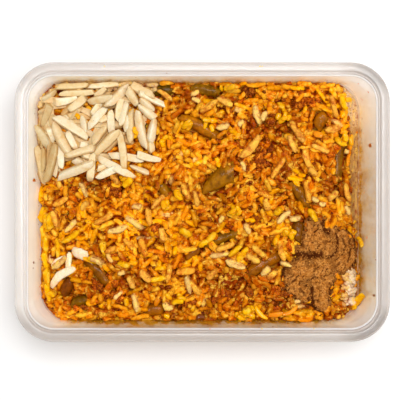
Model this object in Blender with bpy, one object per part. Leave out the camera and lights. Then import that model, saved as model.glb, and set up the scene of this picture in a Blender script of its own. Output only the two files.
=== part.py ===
"""A rectangular takeaway container of bean rice, with slivered almonds and ground spice on top.

Metres, +Z up. The origin is the middle of the container's underside: +X runs along its length and
+Y across it. The container is open and its contents rest in it, so nothing here moves.

Every piece of food is fitted to one bare rice surface, rice_level(x, y): beans and mince sit in
pockets cut in it, and the almond heap and the spice lie a small gap above it.
"""

import math
import random

import bmesh
import bpy
from mathutils import Vector, noise

# ---------------------------------------------------------------- driving sizes, in metres

BOX_LENGTH = 0.184
BOX_WIDTH = 0.137
BOX_HEIGHT = 0.048
BOX_CORNER_RADIUS = 0.0195  # at the lip's outer edge
WALL = 0.0009
LIP_SKIRT = 0.0048
WALL_TOP_INSET = 0.0069  # from the lip's outer edge to the top of the inner wall
WALL_TOP_DROP = 0.0014  # from the lip's top to the top of the inner wall
WALL_DRAFT = 0.127  # how far the wall leans in for each metre down
FLOOR_PANEL_RISE = 0.0008  # the middle of the base stands clear of what it rests on

GAP = 0.00035  # between pieces that touch

RICE_LEVEL = 0.0333  # the bare rice surface above the container's underside
RICE_TILT = 0.022  # its rise towards the back, per metre
RICE_FALL_RIGHT = 0.0230  # how much lower it is at the right-hand wall
RICE_FALL_LEFT = 0.0105
ALMOND_CORNER_HELD = 0.7  # share of the left fall that is missing where the almonds lie
ALMOND_CORNER_FROM = 0.004  # how far back that corner starts, and over what distance
ALMOND_CORNER_OVER = 0.016
RICE_FALL_FROM = 0.060  # distance from the middle where it starts to fall
SWELL = 0.0012  # height and width of the slow rises of the surface
SWELL_WIDTH = 0.034
BUMP = 0.0010  # height and width of its grain-sized bumps
BUMP_WIDTH = 0.0075
SURFACE_STEP = 0.0060  # spacing of the points on the rice surface

GRAIN_LENGTH = 0.0090
GRAIN_WIDTH = 0.0024
GRAIN_COUNT = 124
GRAIN_SPACING = 0.0068  # least distance between the middles of two grains

SLIVER_LENGTH = 0.0175
SLIVER_WIDTH = 0.0036
SLIVER_THICKNESS = 0.0022
ALMOND_BED = 0.0022  # thickness of the almonds' own core
SLIVER_COUNT = 16  # those placed by rule, under the ones listed below

SPICE_EDGE_THICKNESS = 0.0010
SPICE_MOUND = 0.0034  # how much thicker it is in the middle
SPICE_RADIUS = 0.021

CORNER_STEPS = 6

# Shapes of long pieces: how far along from 0 to 1, and the share of the radius there.
GRAIN_SHAPE = ((0.0, 0.40), (0.25, 1.0), (0.75, 1.0), (1.0, 0.40))
GRAIN_LIFT = 0.0003
BEAN_SHAPE = ((0.0, 0.66), (0.15, 0.95), (0.5, 1.0), (0.85, 0.92), (1.0, 0.62))
BEAN_SIDES = 7
BEAN_FLATNESS = 0.82
BEAN_SLANT = 0.35
BEAN_BEND = 0.045

# ---------------------------------------------------------------- the photograph's frame

PHOTO_CENTRE = (202.2, 202.1)  # the container's middle, in pixels across and down
METRES_PER_PIXEL = 0.000504  # at the level of the rice

# Green beans: pixel across, pixel down, length, width, heading in degrees, share of it above the rice.
BEANS = (
    (218, 181, 0.0195, 0.0080, 37, 0.62),
    (164, 92, 0.0090, 0.0056, 5, 0.50),
    (205, 92, 0.0150, 0.0058, -8, 0.55),
    (200, 129, 0.0240, 0.0062, -28, 0.50),
    (339, 158, 0.0240, 0.0062, 82, 0.55),
    (320, 122, 0.0085, 0.0062, 60, 0.60),
    (164, 191, 0.0090, 0.0052, -58, 0.45),
    (98, 272, 0.0180, 0.0056, -50, 0.50),
    (68, 287, 0.0095, 0.0058, 62, 0.55),
    (80, 302, 0.0085, 0.0058, 15, 0.45),
    (221, 240, 0.0185, 0.0050, 23, 0.55),
    (264, 265, 0.0205, 0.0062, 30, 0.50),
    (193, 254, 0.0095, 0.0048, 46, 0.40),
    (299, 195, 0.0155, 0.0058, -55, 0.45),
    (155, 310, 0.0092, 0.0058, 4, 0.45),
    (298, 231, 0.0105, 0.0064, 84, 0.55),
)
# Crumbs of mince: pixel across, pixel down, length, width, heading in degrees.
MINCE = (
    (112, 189, 0.0092, 0.0082, 20),
    (248, 92, 0.0072, 0.0062, 10),
    (300, 102, 0.0092, 0.0078, 60),
    (262, 160, 0.0118, 0.0098, 40),
    (188, 302, 0.0098, 0.0070, 0),
    (114, 259, 0.0070, 0.0064, 0),
    (221, 296, 0.0125, 0.0074, 5),
    (118, 297, 0.0072, 0.0056, -30),
    (275, 293, 0.0098, 0.0076, 15),
)
MINCE_HEIGHT = 0.0066
MINCE_LIFT = 0.0004  # of its middle above the bare rice

# The edge of the almond heap and of the spice, in pixels of the photograph.
ALMOND_EDGE = (
    (44, 101), (60, 91), (96, 87), (130, 87), (150, 100), (154, 122),
    (148, 150), (134, 163), (112, 168), (88, 168), (62, 172), (46, 168), (40, 148), (39, 124),
)
SPICE_EDGE = (
    (309, 227), (324, 236), (340, 238), (352, 249), (354, 266), (343, 281),
    (333, 292), (323, 308), (311, 303), (297, 290), (287, 281), (296, 268), (294, 253), (306, 244),
)
SPICE_CENTRE = (322, 266)
# Almond slivers that lie on top: the two ends of each, in pixels.
TOP_SLIVERS = (
    (58, 118, 88, 140), (54, 125, 75, 157), (58, 176, 94, 166), (67, 157, 96, 149),
    (95, 154, 119, 131), (119, 131, 125, 168), (107, 108, 128, 88), (129, 88, 139, 106),
    (133, 85, 156, 98), (139, 112, 146, 150), (132, 109, 131, 143), (96, 158, 133, 174),
    (113, 156, 144, 160), (97, 178, 119, 168), (90, 127, 106, 106), (110, 109, 114, 131),
    (54, 97, 87, 91), (53, 105, 75, 98), (43, 125, 51, 104), (38, 126, 48, 148),
    (61, 144, 62, 169), (56, 144, 46, 176), (70, 111, 86, 98), (140, 103, 155, 116),
)

SEED = 11


# ---------------------------------------------------------------- places and heights


def from_photo(across, down):
    """The place (x, y) of a pixel of the photograph, at the level of the rice."""
    return Vector(
        (
            (across - PHOTO_CENTRE[0]) * METRES_PER_PIXEL,
            (PHOTO_CENTRE[1] - down) * METRES_PER_PIXEL,
        )
    )


def ease(share):
    """0 to 1 with a soft start and end."""
    share = min(max(share, 0.0), 1.0)
    return share * share * (3 - 2 * share)


def rice_level(x, y):
    """Height of the bare rice surface."""
    swell = SWELL * noise.noise(Vector((x / SWELL_WIDTH, y / SWELL_WIDTH, 0.3)))
    bump = BUMP * noise.noise(Vector((x / BUMP_WIDTH, y / BUMP_WIDTH, 7.1)))
    held = ALMOND_CORNER_HELD * ease((y - ALMOND_CORNER_FROM) / ALMOND_CORNER_OVER)
    fall = RICE_FALL_RIGHT if x > 0 else RICE_FALL_LEFT * (1 - held)
    reach = BOX_LENGTH / 2 - RICE_FALL_FROM
    level = RICE_LEVEL + RICE_TILT * y + swell + bump
    return level - fall * ease((abs(x) - RICE_FALL_FROM) / reach)


def wall_inset(z):
    """How far the inner wall's face is from the lip's outer edge, at height z."""
    return WALL_TOP_INSET + (BOX_HEIGHT - WALL_TOP_DROP - z) * WALL_DRAFT


def inside_wall(x, y, z, clearance):
    """True if the point is at least clearance inside the container's inner wall."""
    inset = wall_inset(z) + clearance
    radius = max(BOX_CORNER_RADIUS - inset, 0.0)
    over_x = max(abs(x) - (BOX_LENGTH / 2 - inset - radius), 0.0)
    over_y = max(abs(y) - (BOX_WIDTH / 2 - inset - radius), 0.0)
    return math.hypot(over_x, over_y) <= radius


# ---------------------------------------------------------------- mesh helpers


def new_object(name, points, faces):
    mesh = bpy.data.meshes.new(name)
    mesh.from_pydata([tuple(p) for p in points], [], faces)
    mesh.validate()
    obj = bpy.data.objects.new(name, mesh)
    bpy.context.scene.collection.objects.link(obj)
    return obj


def rounded_ring(inset, z):
    """A rounded rectangle, inset from the lip's outer edge, as points anticlockwise from above."""
    half_x = BOX_LENGTH / 2 - inset
    half_y = BOX_WIDTH / 2 - inset
    radius = max(BOX_CORNER_RADIUS - inset, 0.003)
    points = []
    for quarter, (side_x, side_y) in enumerate(((1, 1), (-1, 1), (-1, -1), (1, -1))):
        for step in range(CORNER_STEPS + 1):
            turn = math.pi / 2 * (quarter + step / CORNER_STEPS)
            x = side_x * (half_x - radius) + radius * math.cos(turn)
            y = side_y * (half_y - radius) + radius * math.sin(turn)
            points.append(Vector((x, y, z)))
    return points


def loft(name, rings):
    """A closed solid through rings of equal length, with its first and last ring capped."""
    count = len(rings[0])
    points = [p for ring in rings for p in ring]
    faces = [list(range(count))[::-1]]
    for level in range(len(rings) - 1):
        low, high = level * count, (level + 1) * count
        for i in range(count):
            j = (i + 1) % count
            faces.append((low + i, low + j, high + j, high + i))
    last = (len(rings) - 1) * count
    faces.append([last + i for i in range(count)])
    return new_object(name, points, faces)


def field_solid(name, low, high, centre, size):
    """A closed slab over a rectangle: low(x, y) and high(x, y) give its two faces."""
    columns = round(size[0] / SURFACE_STEP)
    rows = round(size[1] / SURFACE_STEP)
    layers = []
    for level in (low, high):
        for row in range(rows + 1):
            for column in range(columns + 1):
                # The grid is shared by all such slabs, so that stacked ones stay parallel.
                x = (round(centre[0] / SURFACE_STEP) + column - columns // 2) * SURFACE_STEP
                y = (round(centre[1] / SURFACE_STEP) + row - rows // 2) * SURFACE_STEP
                layers.append(Vector((x, y, level(x, y))))
    across = columns + 1
    above = across * (rows + 1)
    faces = []
    for row in range(rows):
        for column in range(columns):
            a = row * across + column
            b, c, d = a + 1, a + across + 1, a + across
            faces += [(a, c, b), (a, d, c)]
            faces += [(above + a, above + b, above + c), (above + a, above + c, above + d)]
    for column in range(columns):
        a, b = column, column + 1
        faces.append((a, b, above + b, above + a))
        a, b = rows * across + column, rows * across + column + 1
        faces.append((b, a, above + a, above + b))
    for row in range(rows):
        a, b = row * across, (row + 1) * across
        faces.append((b, a, above + a, above + b))
        a, b = row * across + columns, (row + 1) * across + columns
        faces.append((a, b, above + b, above + a))
    return new_object(name, layers, faces)


def outline_prism(name, edge):
    """An upright prism on an outline given in pixels, taller than the food."""
    corners = [from_photo(*pixel) for pixel in edge]
    corners.reverse()  # the photograph's rows run down, which turns the outline round
    return loft(name, [[Vector((p.x, p.y, z)) for p in corners] for z in (0.0, BOX_HEIGHT)])


def combine(obj, operation, others, solver="EXACT"):
    """Applies one Boolean of obj with the other objects together, then removes them."""
    tools = bpy.data.collections.new(obj.name + "_tools")
    for other in others:
        tools.objects.link(other)
    modifier = obj.modifiers.new("join", "BOOLEAN")
    modifier.operation = operation
    modifier.operand_type = "COLLECTION"
    modifier.collection = tools
    modifier.solver = solver
    bpy.context.view_layer.update()
    graph = bpy.context.evaluated_depsgraph_get()
    result = bpy.data.meshes.new_from_object(obj.evaluated_get(graph))
    obj.modifiers.clear()
    obj.data = result
    for other in list(tools.objects):
        bpy.data.objects.remove(other)
    bpy.data.collections.remove(tools)


def keep_main_body(obj):
    """Drops loose scraps and the skins of sealed hollows, which fills those."""
    mesh = bmesh.new()
    mesh.from_mesh(obj.data)
    bmesh.ops.remove_doubles(mesh, verts=mesh.verts, dist=1e-6)
    unseen = set(mesh.verts)
    bodies = []
    while unseen:
        body = []
        edge_of_search = [unseen.pop()]
        while edge_of_search:
            vert = edge_of_search.pop()
            body.append(vert)
            for edge in vert.link_edges:
                other = edge.other_vert(vert)
                if other in unseen:
                    unseen.discard(other)
                    edge_of_search.append(other)
        bodies.append(body)
    bodies.sort(key=len)
    for body in bodies[:-1]:
        bmesh.ops.delete(mesh, geom=body, context="VERTS")
    mesh.to_mesh(obj.data)
    mesh.free()


def finish(obj, colour, roughness, alpha=1.0, smooth_angle=35.0):
    """Gives the object its own material and its shading."""
    material = bpy.data.materials.new(obj.name)
    material.use_nodes = True
    shader = material.node_tree.nodes["Principled BSDF"]
    shader.inputs["Base Color"].default_value = (*colour, 1.0)
    shader.inputs["Roughness"].default_value = roughness
    shader.inputs["Metallic"].default_value = 0.0
    shader.inputs["Alpha"].default_value = alpha
    obj.data.materials.clear()
    obj.data.materials.append(material)
    obj.data.shade_smooth()
    obj.data.set_sharp_from_angle(angle=math.radians(smooth_angle))


# ---------------------------------------------------------------- the container


def make_container():
    """One moulded shell: base, leaning walls, a groove for the lid and a lip with a skirt."""
    top = BOX_HEIGHT
    wall_top = top - WALL_TOP_DROP
    outer_low = wall_inset(0.0034) - WALL
    profile = (
        # underside, from the raised middle panel out over the foot it stands on
        (0.0240, FLOOR_PANEL_RISE),
        (0.0225, 0.0),
        (outer_low + 0.0044, 0.0),
        (outer_low + 0.0014, 0.0009),
        (outer_low, 0.0034),
        # outer wall up to the lip
        (wall_inset(wall_top - 0.0022) - WALL, wall_top - 0.0022),
        (0.0057, top - 0.0020),
        (WALL, top - 0.0015),
        # skirt
        (WALL, top - LIP_SKIRT),
        (0.0, top - LIP_SKIRT),
        # rounded lip, lid groove and bead
        (0.0, top - 0.0011),
        (0.00035, top - 0.0003),
        (0.0011, top),
        (0.0042, top),
        (0.0047, top - 0.0010),
        (0.0052, top - 0.0010),
        (0.0056, top - 0.0005),
        (0.0064, top - 0.0006),
        (WALL_TOP_INSET, wall_top),
        # inner wall and floor
        (wall_inset(0.0042), 0.0042),
        (wall_inset(0.0042) + 0.0013, 0.0020),
        (wall_inset(0.0042) + 0.0042, WALL),
        (0.0218, WALL),
        (0.0234, WALL + FLOOR_PANEL_RISE),
    )
    container = loft("container", [rounded_ring(inset, z) for inset, z in profile])
    finish(container, (0.90, 0.87, 0.83), 0.28, alpha=0.5, smooth_angle=30.0)


# ---------------------------------------------------------------- pieces of food


def tube(name, stations, sides, flat=1.0, slant=0.0, bend=0.0, first_turn=0.0):
    """A closed tube along +X, centred on its own origin, with flat ends.

    stations are (x, radius) pairs. flat squeezes it along Z, slant leans its two ends towards +Y,
    and bend moves its middle towards +Y.
    """
    low, high = stations[0][0], stations[-1][0]
    rings = []
    for x, radius in stations:
        share = (x - low) / (high - low)
        lean = slant if share in (0.0, 1.0) else 0.0
        ring = []
        for side in range(sides):
            turn = first_turn + math.tau * side / sides
            y = radius * math.cos(turn)
            z = radius * flat * math.sin(turn)
            ring.append(Vector((x + lean * y, y + bend * math.sin(math.pi * share), z)))
        rings.append(ring)
    return loft(name, rings)


def spread(length, shape, radius):
    """Stations of a tube from a shape: pairs of a place from 0 to 1 and a share of the radius."""
    return [((place - 0.5) * length, share * radius) for place, share in shape]


def lay(obj, start, end):
    """Places a piece made along +X so that it runs from start to end."""
    run = end - start
    obj.location = (start + end) / 2
    obj.rotation_euler = (0.0, -math.atan2(run.z, run.xy.length), math.atan2(run.y, run.x))
    return obj


def lay_on_rice(obj, middle, heading, length, lift):
    """Lays a piece on the bare rice, the line through its middle lift above it."""
    half = Vector((math.cos(heading), math.sin(heading))) * length / 2
    ends = []
    for point in (middle - half, middle + half):
        ends.append(Vector((point.x, point.y, rice_level(point.x, point.y) + lift)))
    return lay(obj, *ends)


def make_bean(name, bean):
    """A cut length of cooked green bean, a little curved, with slanting cut ends."""
    across, down, length, width, heading, share_above = bean
    stations = spread(length, BEAN_SHAPE, width / 2)
    obj = tube(name, stations, BEAN_SIDES, BEAN_FLATNESS, BEAN_SLANT, BEAN_BEND * length)
    lift = width * (share_above - 0.5)
    return lay_on_rice(obj, from_photo(across, down), math.radians(heading), length, lift)


def bean_trough(bean):
    """A square-sided trough that holds a bean with a gap all round."""
    across, down, length, width, heading, share_above = bean
    corner = math.sqrt(2)
    shape = [(place, share * corner) for place, share in BEAN_SHAPE]
    radius = width / 2 + GAP / BEAN_SHAPE[0][1] / corner
    stations = spread(length + 2.5 * GAP, shape, radius)
    bend = BEAN_BEND * length
    obj = tube("trough", stations, 4, BEAN_FLATNESS, BEAN_SLANT, bend, first_turn=math.pi / 4)
    lift = width * (share_above - 0.5)
    return lay_on_rice(obj, from_photo(across, down), math.radians(heading), length, lift)


def crumb_pit(crumb):
    """A straight-sided pit that holds a crumb with a gap all round."""
    across, down, length, width, heading = crumb
    reach = (length / 2 * 1.08 + GAP, width / 2 * 1.08 + GAP, MINCE_HEIGHT / 2 * 1.03 + GAP)
    rings = []
    for z, share in ((-reach[2], 0.72), (-0.45 * reach[2], 1.0), (reach[2], 1.0)):
        ring = []
        for side in range(9):
            turn = math.tau * side / 9
            ring.append(Vector((reach[0] * share * math.cos(turn), reach[1] * share * math.sin(turn), z)))
        rings.append(ring)
    obj = loft("pit", rings)
    return lay_on_rice(obj, from_photo(across, down), math.radians(heading), length, MINCE_LIFT)


def make_crumb(name, crumb):
    """A knobbly crumb of fried mince."""
    across, down, length, width, heading = crumb
    size = (length / 2, width / 2, MINCE_HEIGHT / 2)
    mesh = bmesh.new()
    bmesh.ops.create_icosphere(mesh, subdivisions=2, radius=1.0)
    for vert in mesh.verts:
        knob = 0.97 + 0.16 * noise.noise(vert.co * 2.1 + Vector((across, down, 0.0)))
        vert.co = [vert.co[i] * knob * size[i] for i in range(3)]
    data = bpy.data.meshes.new(name)
    mesh.to_mesh(data)
    mesh.free()
    obj = bpy.data.objects.new(name, data)
    bpy.context.scene.collection.objects.link(obj)
    return lay_on_rice(obj, from_photo(across, down), math.radians(heading), length, MINCE_LIFT)


def make_grain(middle, heading, length):
    """One long cooked grain of three sides, two of them showing and the third sunk in the surface."""
    radius = GRAIN_WIDTH / 2 / math.cos(math.pi / 6)  # its lower corners are GRAIN_WIDTH apart
    obj = tube("grain", spread(length, GRAIN_SHAPE, radius), 3, first_turn=math.pi / 2)
    return lay_on_rice(obj, middle, heading, length, GRAIN_LIFT)


def make_sliver(start, end):
    """One almond sliver: a flat cut stick of four sides, thinner at its ends."""
    shape = ((0.0, 0.45), (0.25, 1.0), (0.75, 1.0), (1.0, 0.45))
    stations = spread((end - start).length, shape, SLIVER_WIDTH / 2 * 1.2)
    thin = SLIVER_THICKNESS / SLIVER_WIDTH
    return lay(tube("sliver", stations, 4, flat=thin, first_turn=math.pi / 4), start, end)


# ---------------------------------------------------------------- keeping pieces apart


def footprint_segments():
    """The lines and half widths that the beans and crumbs take up, seen from above."""
    segments = []
    for across_px, down_px, length, width, heading, *_ in list(BEANS) + list(MINCE):
        middle = from_photo(across_px, down_px)
        half = Vector((math.cos(math.radians(heading)), math.sin(math.radians(heading)))) * length / 2
        segments.append((middle - half, middle + half, width / 2))
    return segments


def distance_to_segment(point, start, end):
    along = end - start
    share = min(max((point - start).dot(along) / along.length_squared, 0.0), 1.0)
    return (point - start - along * share).length


def clear_of_toppings(start, end, half_width, segments):
    """True if a straight piece from start to end keeps off every bean and crumb."""
    for share in (0.0, 0.25, 0.5, 0.75, 1.0):
        point = start.lerp(end, share)
        for low, high, reach in segments:
            if distance_to_segment(point, low, high) < reach + half_width + 2 * GAP:
                return False
    return True


def in_outline(point, edge):
    """True if the point is inside an outline given in pixels."""
    corners = [from_photo(*pixel) for pixel in edge]
    inside = False
    for i, a in enumerate(corners):
        b = corners[i - 1]
        if (a.y > point.y) != (b.y > point.y):
            if point.x < (b.x - a.x) * (point.y - a.y) / (b.y - a.y) + a.x:
                inside = not inside
    return inside


def near_outline(point, edge, reach):
    """True if the point is inside an outline or within reach of its edge."""
    corners = [from_photo(*pixel) for pixel in edge]
    sides = ((corners[i - 1], corners[i]) for i in range(len(corners)))
    return in_outline(point, edge) or any(distance_to_segment(point, a, b) < reach for a, b in sides)


# ---------------------------------------------------------------- the heaps


def rice_core():
    """The rice without its loose grains: the container's inside up to the bare surface."""
    def underneath(x, y):
        return -0.004

    block = field_solid("rice", underneath, rice_level, (0, 0), (BOX_LENGTH, BOX_WIDTH))
    floor = WALL + FLOOR_PANEL_RISE + GAP
    low_inset = wall_inset(0.0042) + GAP
    cavity = loft(
        "cavity",
        [
            rounded_ring(low_inset + 0.0042, floor),
            rounded_ring(low_inset + 0.0012, floor + 0.0007),
            rounded_ring(low_inset, floor + 0.0026),
            rounded_ring(wall_inset(0.044) + GAP, 0.044),
        ],
    )
    combine(block, "INTERSECT", [cavity])
    return block


def scatter_grains(segments, draw):
    """Grains spread evenly over the open rice, each clear of the wall and of the toppings."""
    grains, middles = [], []
    for _ in range(GRAIN_COUNT * 60):
        if len(grains) == GRAIN_COUNT:
            break
        middle = Vector(
            (
                draw.uniform(-BOX_LENGTH / 2, BOX_LENGTH / 2),
                draw.uniform(-BOX_WIDTH / 2, BOX_WIDTH / 2),
            )
        )
        heading = draw.uniform(0, math.pi)
        length = GRAIN_LENGTH * draw.uniform(0.85, 1.1)
        half = Vector((math.cos(heading), math.sin(heading))) * length / 2
        start, end = middle - half, middle + half
        if any((middle - other).length < GRAIN_SPACING for other in middles):
            continue
        reach = GRAIN_WIDTH / 2 + GAP
        if not all(
            inside_wall(p.x, p.y, rice_level(p.x, p.y), GAP + reach) for p in (start, end)
        ):
            continue
        if not clear_of_toppings(start, end, GRAIN_WIDTH / 2, segments):
            continue
        places = (start, middle, end)
        if any(near_outline(p, edge, reach) for p in places for edge in (ALMOND_EDGE, SPICE_EDGE)):
            continue
        middles.append(middle)
        grains.append(make_grain(middle, heading, length))
    return grains


def make_rice(segments):
    rice = rice_core()
    pockets = [bean_trough(bean) for bean in BEANS] + [crumb_pit(crumb) for crumb in MINCE]
    combine(rice, "DIFFERENCE", pockets)
    combine(rice, "UNION", scatter_grains(segments, random.Random(SEED)))
    keep_main_body(rice)
    finish(rice, (0.80, 0.38, 0.07), 0.5)
    return rice


def sheet_over_rice(name, edge, thickness):
    """A sheet that follows the rice a gap above it, cut to an outline in pixels."""
    corners = [from_photo(*pixel) for pixel in edge]
    low = Vector((min(p.x for p in corners), min(p.y for p in corners)))
    high = Vector((max(p.x for p in corners), max(p.y for p in corners)))
    margin = 4 * SURFACE_STEP

    def under(x, y):
        return rice_level(x, y) + GAP

    def over(x, y):
        return under(x, y) + thickness(x, y)

    middle, size = (low + high) / 2, (high.x - low.x + margin, high.y - low.y + margin)
    sheet = field_solid(name, under, over, middle, size)
    combine(sheet, "INTERSECT", [outline_prism("outline", edge)])
    return sheet


def make_almonds(segments):
    """The heap of slivers: a thin bed with sticks fused on it, some by rule and some as they lie."""
    heap = sheet_over_rice("almond_slivers", ALMOND_EDGE, lambda x, y: ALMOND_BED)
    draw = random.Random(SEED + 1)
    places = []
    while len(places) < SLIVER_COUNT:
        middle = from_photo(draw.uniform(40, 154), draw.uniform(87, 174))
        if in_outline(middle, ALMOND_EDGE):
            heading = draw.uniform(0, math.pi)
            half = Vector((math.cos(heading), math.sin(heading))) * SLIVER_LENGTH / 2
            places.append((middle - half, middle + half, ALMOND_BED))
    for start_x, start_y, end_x, end_y in TOP_SLIVERS:
        top = ALMOND_BED + SLIVER_THICKNESS * 0.7
        places.append((from_photo(start_x, start_y), from_photo(end_x, end_y), top))
    slivers = []
    for start, end, height in places:
        ends = []
        for point in (start, end):
            ends.append(Vector((point.x, point.y, rice_level(point.x, point.y) + GAP + height)))
        reach = SLIVER_WIDTH / 2 + GAP
        if not all(inside_wall(*p, reach) for p in ends):
            continue
        if clear_of_toppings(start, end, SLIVER_WIDTH / 2, segments):
            slivers.append(make_sliver(*ends))
    combine(heap, "UNION", slivers)
    keep_main_body(heap)
    finish(heap, (0.90, 0.80, 0.60), 0.45, smooth_angle=25.0)
    return heap


def make_spice(segments):
    """The spice: a shallow mound with clumps, cut back round the beans that it reaches."""
    centre = from_photo(*SPICE_CENTRE)

    def thickness(x, y):
        out = (Vector((x, y)) - centre).length / SPICE_RADIUS
        clump = noise.noise(Vector((x, y, 0.0)) / 0.0055)
        mound = SPICE_MOUND * (1 - ease(out)) * (1 + 0.3 * clump)
        return SPICE_EDGE_THICKNESS * (1 + 0.4 * clump) + mound

    spice = sheet_over_rice("ground_spice", SPICE_EDGE, thickness)
    keep_main_body(spice)
    finish(spice, (0.48, 0.27, 0.11), 0.9)
    return spice


def main():
    for obj in list(bpy.data.objects):
        bpy.data.objects.remove(obj)
    segments = footprint_segments()
    make_container()
    make_rice(segments)
    make_almonds(segments)
    make_spice(segments)
    for number, bean in enumerate(BEANS, 1):
        finish(make_bean(f"bean_{number:02d}", bean), (0.30, 0.22, 0.03), 0.35)
    for number, crumb in enumerate(MINCE, 1):
        finish(make_crumb(f"mince_{number:02d}", crumb), (0.28, 0.09, 0.03), 0.6, smooth_angle=60)
    whole = bpy.data.objects.new("filled_container", None)
    for obj in list(bpy.data.objects):
        if obj != whole:
            obj.parent = whole
    bpy.context.scene.collection.objects.link(whole)


main()
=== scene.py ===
"""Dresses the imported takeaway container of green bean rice, and sets its camera, light and floor.

Metres, +Z up, +X along the container's length. The rice is laid grain by grain on a height map, so
that each one rests on what is under it; almonds, crumbs and the rest are laid the same way.
"""

import math
import random

import bmesh
import bpy
import numpy as np
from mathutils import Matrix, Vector, noise


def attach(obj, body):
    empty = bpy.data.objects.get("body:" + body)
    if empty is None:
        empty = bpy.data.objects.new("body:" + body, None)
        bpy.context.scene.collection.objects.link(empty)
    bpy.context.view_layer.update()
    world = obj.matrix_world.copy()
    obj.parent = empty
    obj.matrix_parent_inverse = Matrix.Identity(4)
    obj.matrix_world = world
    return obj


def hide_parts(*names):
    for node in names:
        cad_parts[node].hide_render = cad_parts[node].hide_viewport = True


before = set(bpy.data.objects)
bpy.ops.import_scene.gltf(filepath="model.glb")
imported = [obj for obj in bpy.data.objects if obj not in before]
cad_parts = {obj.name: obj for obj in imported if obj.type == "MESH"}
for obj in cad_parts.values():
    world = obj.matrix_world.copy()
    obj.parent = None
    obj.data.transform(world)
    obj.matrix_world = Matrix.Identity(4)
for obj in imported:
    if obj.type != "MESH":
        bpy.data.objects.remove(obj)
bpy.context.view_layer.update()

# ---------------------------------------------------------------- sizes, in metres, as in the CAD model

BOX_LENGTH = 0.184
BOX_WIDTH = 0.137
BOX_HEIGHT = 0.048
BOX_CORNER_RADIUS = 0.0195
WALL = 0.0009
LIP_SKIRT = 0.0048
WALL_TOP_INSET = 0.0069
WALL_TOP_DROP = 0.0014
WALL_DRAFT = 0.127
FLOOR_PANEL_RISE = 0.0008
RICE_LEVEL = 0.0333
RICE_TILT = 0.022
RICE_FALL_RIGHT = 0.0230
RICE_FALL_LEFT = 0.0105
ALMOND_CORNER_HELD = 0.7
ALMOND_CORNER_FROM = 0.004
ALMOND_CORNER_OVER = 0.016
RICE_FALL_FROM = 0.060
SWELL = 0.0012
SWELL_WIDTH = 0.034
BUMP = 0.0010
BUMP_WIDTH = 0.0075
EDGE_DIP = 0.0036
EDGE_DIP_FROM = 0.0735
EDGE_DIP_OVER = 0.0060
CORNER_EXTRA = 0.0030  # the inner wall's corners turn in a wider curve than the lip's
CORNER_EXTRA_OVER = 0.0080

BEAN_SHAPE = ((0.0, 0.66), (0.15, 0.95), (0.5, 1.0), (0.85, 0.92), (1.0, 0.62))
# The big bean: one end is cut wide.
WEDGE_SHAPE = ((0.0, 0.30), (0.12, 0.54), (0.45, 0.90), (0.85, 1.14), (1.0, 1.06))
WEDGE_SLANT = 0.72
WEDGE_BULGE = 0.60
BEAN_FLATNESS = 0.82
BEAN_SLANT = 0.35
BEAN_BEND = 0.045
MINCE_HEIGHT = 0.0066
MINCE_LIFT = 0.0004
SPICE_CENTRE = (322, 266)

# The photograph's frame: 400 pixels square, seen from straight above.
PHOTO_CENTRE = (202.2, 202.1)
PIXEL_AT_RIM = 0.000489
EYE_ABOVE_RIM = 0.600
RICE_PIXEL = 0.000504  # a pixel at the level of the rice, as the CAD model takes it
MIDDLE = 200
EYE = ((MIDDLE - PHOTO_CENTRE[0]) * PIXEL_AT_RIM, (PHOTO_CENTRE[1] - MIDDLE) * PIXEL_AT_RIM)
# Heights at which the camera sees the things that are listed in pixels.
GRAIN_TOP, STRIP_TOP, SLIVER_TOP, CLUMP_TOP = 0.034, 0.035, 0.037, 0.026

# Green beans: pixel across, pixel down, length, width, heading in degrees, share of it above the rice.
BEANS = (
    (218, 181, 0.0195, 0.0080, 37, 0.62),
    (164, 92, 0.0090, 0.0056, 5, 0.50),
    (205, 92, 0.0150, 0.0058, -8, 0.55),
    (200, 129, 0.0240, 0.0062, -28, 0.50),
    (339, 158, 0.0240, 0.0062, 82, 0.55),
    (320, 122, 0.0085, 0.0062, 60, 0.60),
    (164, 191, 0.0090, 0.0052, -58, 0.45),
    (98, 272, 0.0180, 0.0056, -50, 0.50),
    (68, 287, 0.0095, 0.0058, 62, 0.55),
    (80, 302, 0.0085, 0.0058, 15, 0.45),
    (221, 240, 0.0185, 0.0050, 23, 0.55),
    (264, 265, 0.0205, 0.0062, 30, 0.50),
    (193, 254, 0.0095, 0.0048, 46, 0.40),
    (299, 195, 0.0155, 0.0058, -55, 0.45),
    (155, 310, 0.0092, 0.0058, 4, 0.45),
    (298, 231, 0.0105, 0.0064, 84, 0.55),
)
# Beans that are browner, darker or lighter than the rest: shares of red and of green.
BEAN_DARK = {
    1: (0.94, 0.84), 2: (0.38, 0.44), 3: (0.68, 0.68), 4: (1.43, 1.18), 5: (0.64, 0.60), 6: (1.10, 0.93),
    8: (0.82, 0.66), 9: (0.68, 0.42), 10: (0.64, 0.62), 11: (0.70, 0.74), 12: (0.92, 0.76), 13: (0.82, 0.64),
    14: (1.08, 0.90), 15: (1.10, 0.86), 16: (0.48, 0.36),
}
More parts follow.
